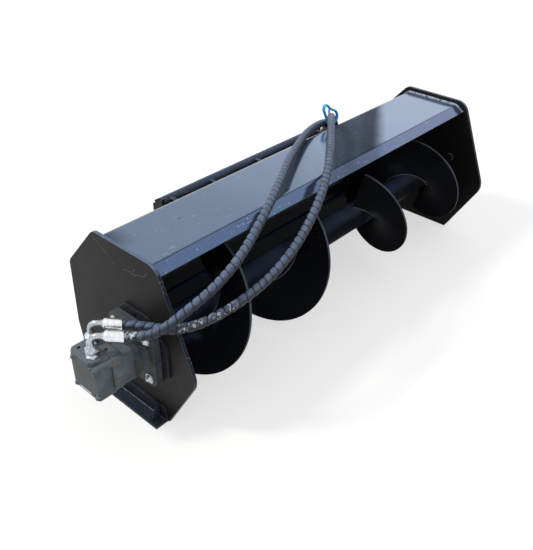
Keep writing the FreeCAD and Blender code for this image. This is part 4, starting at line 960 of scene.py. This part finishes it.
def make_welds(looks):
    inner_faces = (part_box("hood_sheet")[0].x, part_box("hood_sheet")[1].x)
    for name, x, inward in (("near", inner_faces[0], 1), ("far", inner_faces[1], -1)):
        line = []
        for y, z in SHEET_LINE:
            point = place(0, y, z)
            line.append(Vector((x + inward * SHEET_WELD_INSET, point.y, point.z)))
        weld("sheet_weld_" + name, line, SHEET_WELD_RADIUS, looks["weld"], "hood")
    # the dusty bead in the root of each foot
    for name, face, outward in (("near", "near_foot_angle", -1), ("far", "far_foot_angle", 1)):
        low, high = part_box(face)
        root = high.x if outward < 0 else low.x
        x = root + outward * FOOT_THICKNESS
        line = [Vector((x, low.y + FOOT_BEAD_INSET, FOOT_THICKNESS)),
                Vector((x, high.y - FOOT_BEAD_INSET, FOOT_THICKNESS))]
        weld("foot_bead_" + name, line, FOOT_BEAD_RADIUS, looks["foot_dust"], "hood")
    for name, handed in (("left_flight", -1), ("right_flight", 1)):
        for side, face_offset in (("a", 0), ("b", FLIGHT_THICKNESS)):
            line = flight_root(name, handed, face_offset)
            weld("%s_weld_%s" % (name, side), line, FLIGHT_WELD_RADIUS, looks["auger_weld"], "auger")


# A blank two-tone label low on the motor's end face, with round corners and a soft edge
LABEL_SIDES = (56, 95)
LABEL_CORNER = 1.5 * MM
LABEL_CORNER_STEPS = 4
LABEL_THICKNESS = 0.35 * MM
LABEL_SOFT_SHARE = 0.7
LABEL_EDGE_INSET = 0.3 * MM


def make_label(looks):
    face_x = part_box("port_housing")[0].x
    y_low, y_high = (place(0, side, 0).y for side in LABEL_SIDES)
    inner_y = (y_low + LABEL_CORNER, y_high - LABEL_CORNER)
    inner_z = (LABEL_BOTTOM + LABEL_CORNER, LABEL_TOP - LABEL_CORNER)
    outline = []
    for y, z, start in ((inner_y[1], inner_z[1], 0), (inner_y[0], inner_z[1], 90),
                        (inner_y[0], inner_z[0], 180), (inner_y[1], inner_z[0], 270)):
        for i in range(LABEL_CORNER_STEPS + 1):
            angle = math.radians(start + 90 * i / LABEL_CORNER_STEPS)
            outline.append((y + LABEL_CORNER * math.cos(angle), z + LABEL_CORNER * math.sin(angle)))
    middle_y = (y_low + y_high) / 2
    middle_z = (LABEL_BOTTOM + LABEL_TOP) / 2
    verts = []
    for depth, inset in ((0, 0), (LABEL_SOFT_SHARE, 0), (1, LABEL_EDGE_INSET)):
        for y, z in outline:
            verts.append(Vector((face_x - LABEL_THICKNESS * depth, y + math.copysign(inset, middle_y - y),
                                 z + math.copysign(inset, middle_z - z))))
    faces = ring_faces(3, len(outline))
    label = new_object("end_label", verts, faces, looks["label"], "hood", smooth=False)


# Dust-cap strap: one loose loop round the hose whose upper left end stands up as a pull loop,
# with a short bar across it, as (x, z) points in a plane across the hose
STRAP_PLANE = 224.0
STRAP_AROUND = 14
STRAP_LOOP = (
    (815, 430), (806, 445), (801, 458), (807, 466), (818, 463), (829, 452), (843, 443), (859, 435),
    (868, 421), (866, 408), (853, 401), (834, 402), (822, 411), (815, 430))
STRAP_BAR = ((829, 452), (826, 443), (829, 434))
LOOP_HALF_SIZES = (4.6 * MM, 3.5 * MM)
BAR_HALF_SIZES = (3.0 * MM, 2.6 * MM)


def make_strap(looks):
    verts = []
    faces = []
    normal = Vector((0, 1, 0))
    for points, (wide, thick) in ((STRAP_LOOP, LOOP_HALF_SIZES), (STRAP_BAR, BAR_HALF_SIZES)):
        closed = points[0] == points[-1]
        path = smooth_line([place(x, STRAP_PLANE, z) for x, z in points], "line_strap")
        last = len(path) - 1
        first = len(verts)
        for i, spot in enumerate(path):
            before = path[i - 1] if i > 0 else (path[last - 1] if closed else path[0])
            after = path[i + 1] if i < last else (path[1] if closed else path[last])
            out = (after - before).normalized().cross(normal)
            verts += ring_points(spot, normal * wide, out * thick, STRAP_AROUND)
        for face in ring_faces(len(path), STRAP_AROUND):
            faces.append(tuple(first + k for k in face))
    strap = new_object("dust_cap_loop", verts, faces, looks["blue"], "hood")
    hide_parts("dust_cap_strap")
    return strap


# Floor and light
WHITE = (1, 1, 1, 1)
FLOOR_HALF_SIZE = 14
FLOOR_DROP = 0.4 * MM
FLOOR_COLOUR = (0.50, 0.50, 0.50)
FLOOR_GLOW = 0.62
WORLD_LIGHT = 0.62
WORLD_SEEN = 1.0
SUN_ENERGY = 1.3
SUN_WIDTH = math.radians(9)
SUN_COLOUR = (1.0, 0.97, 0.93)
SUN_FROM = (-1.0, 0.75, 1.25)


# 1 for the rays that see the background: the camera's, and those off gloss and through glass
def background_rays(tree):
    path = tree.nodes.new("ShaderNodeLightPath")
    seen = path.outputs["Is Camera Ray"]
    for kind in ("Is Glossy Ray", "Is Transmission Ray"):
        larger = tree.nodes.new("ShaderNodeMath")
        larger.operation = "MAXIMUM"
        tree.links.new(seen, larger.inputs[0])
        tree.links.new(path.outputs[kind], larger.inputs[1])
        seen = larger.outputs[0]
    return seen


def make_floor():
    size = FLOOR_HALF_SIZE
    corners = [(-size, -size, 0), (size, -size, 0), (size, size, 0), (-size, size, 0)]
    mesh = bpy.data.meshes.new("floor")
    mesh.from_pydata(corners, [], [(0, 1, 2, 3)])
    floor = bpy.data.objects.new("floor", mesh)
    floor.location.z = -FLOOR_DROP
    bpy.context.scene.collection.objects.link(floor)
    shade = Shade("pale_floor", specular=0.1, roughness=0.9)
    shade.finish(FLOOR_COLOUR)
    glow = shade.node("ShaderNodeEmission")
    glow.inputs["Color"].default_value = WHITE
    shade.feed(glow.inputs["Strength"], shade.times(background_rays(shade.tree), FLOOR_GLOW))
    total = shade.node("ShaderNodeAddShader")
    shade.feed(total.inputs[0], shade.shader.outputs[0])
    shade.feed(total.inputs[1], glow.outputs[0])
    shade.feed(shade.tree.nodes["Material Output"].inputs["Surface"], total.outputs[0])
    mesh.materials.append(shade.material)


def make_world():
    world = bpy.data.worlds.new("studio")
    world.use_nodes = True
    tree = world.node_tree
    level = tree.nodes.new("ShaderNodeMapRange")
    tree.links.new(background_rays(tree), level.inputs["Value"])
    level.inputs["To Min"].default_value = WORLD_LIGHT
    level.inputs["To Max"].default_value = WORLD_SEEN
    back = tree.nodes["Background"]
    tree.links.new(level.outputs["Result"], back.inputs["Strength"])
    back.inputs["Color"].default_value = WHITE
    bpy.context.scene.world = world


def make_sun():
    sun = bpy.data.lights.new("sun", "SUN")
    sun.energy = SUN_ENERGY
    sun.angle = SUN_WIDTH
    sun.color = SUN_COLOUR
    lamp = bpy.data.objects.new("sun", sun)
    lamp.rotation_mode = "QUATERNION"
    lamp.rotation_quaternion = Vector(SUN_FROM).to_track_quat("Z", "Y")
    bpy.context.scene.collection.objects.link(lamp)


make_camera()
looks = make_looks()
dress_nodes(looks)
make_hoses(looks)
make_welds(looks)
make_label(looks)
make_floor()
make_world()
make_sun()
bpy.context.scene.view_settings.view_transform = "Standard"
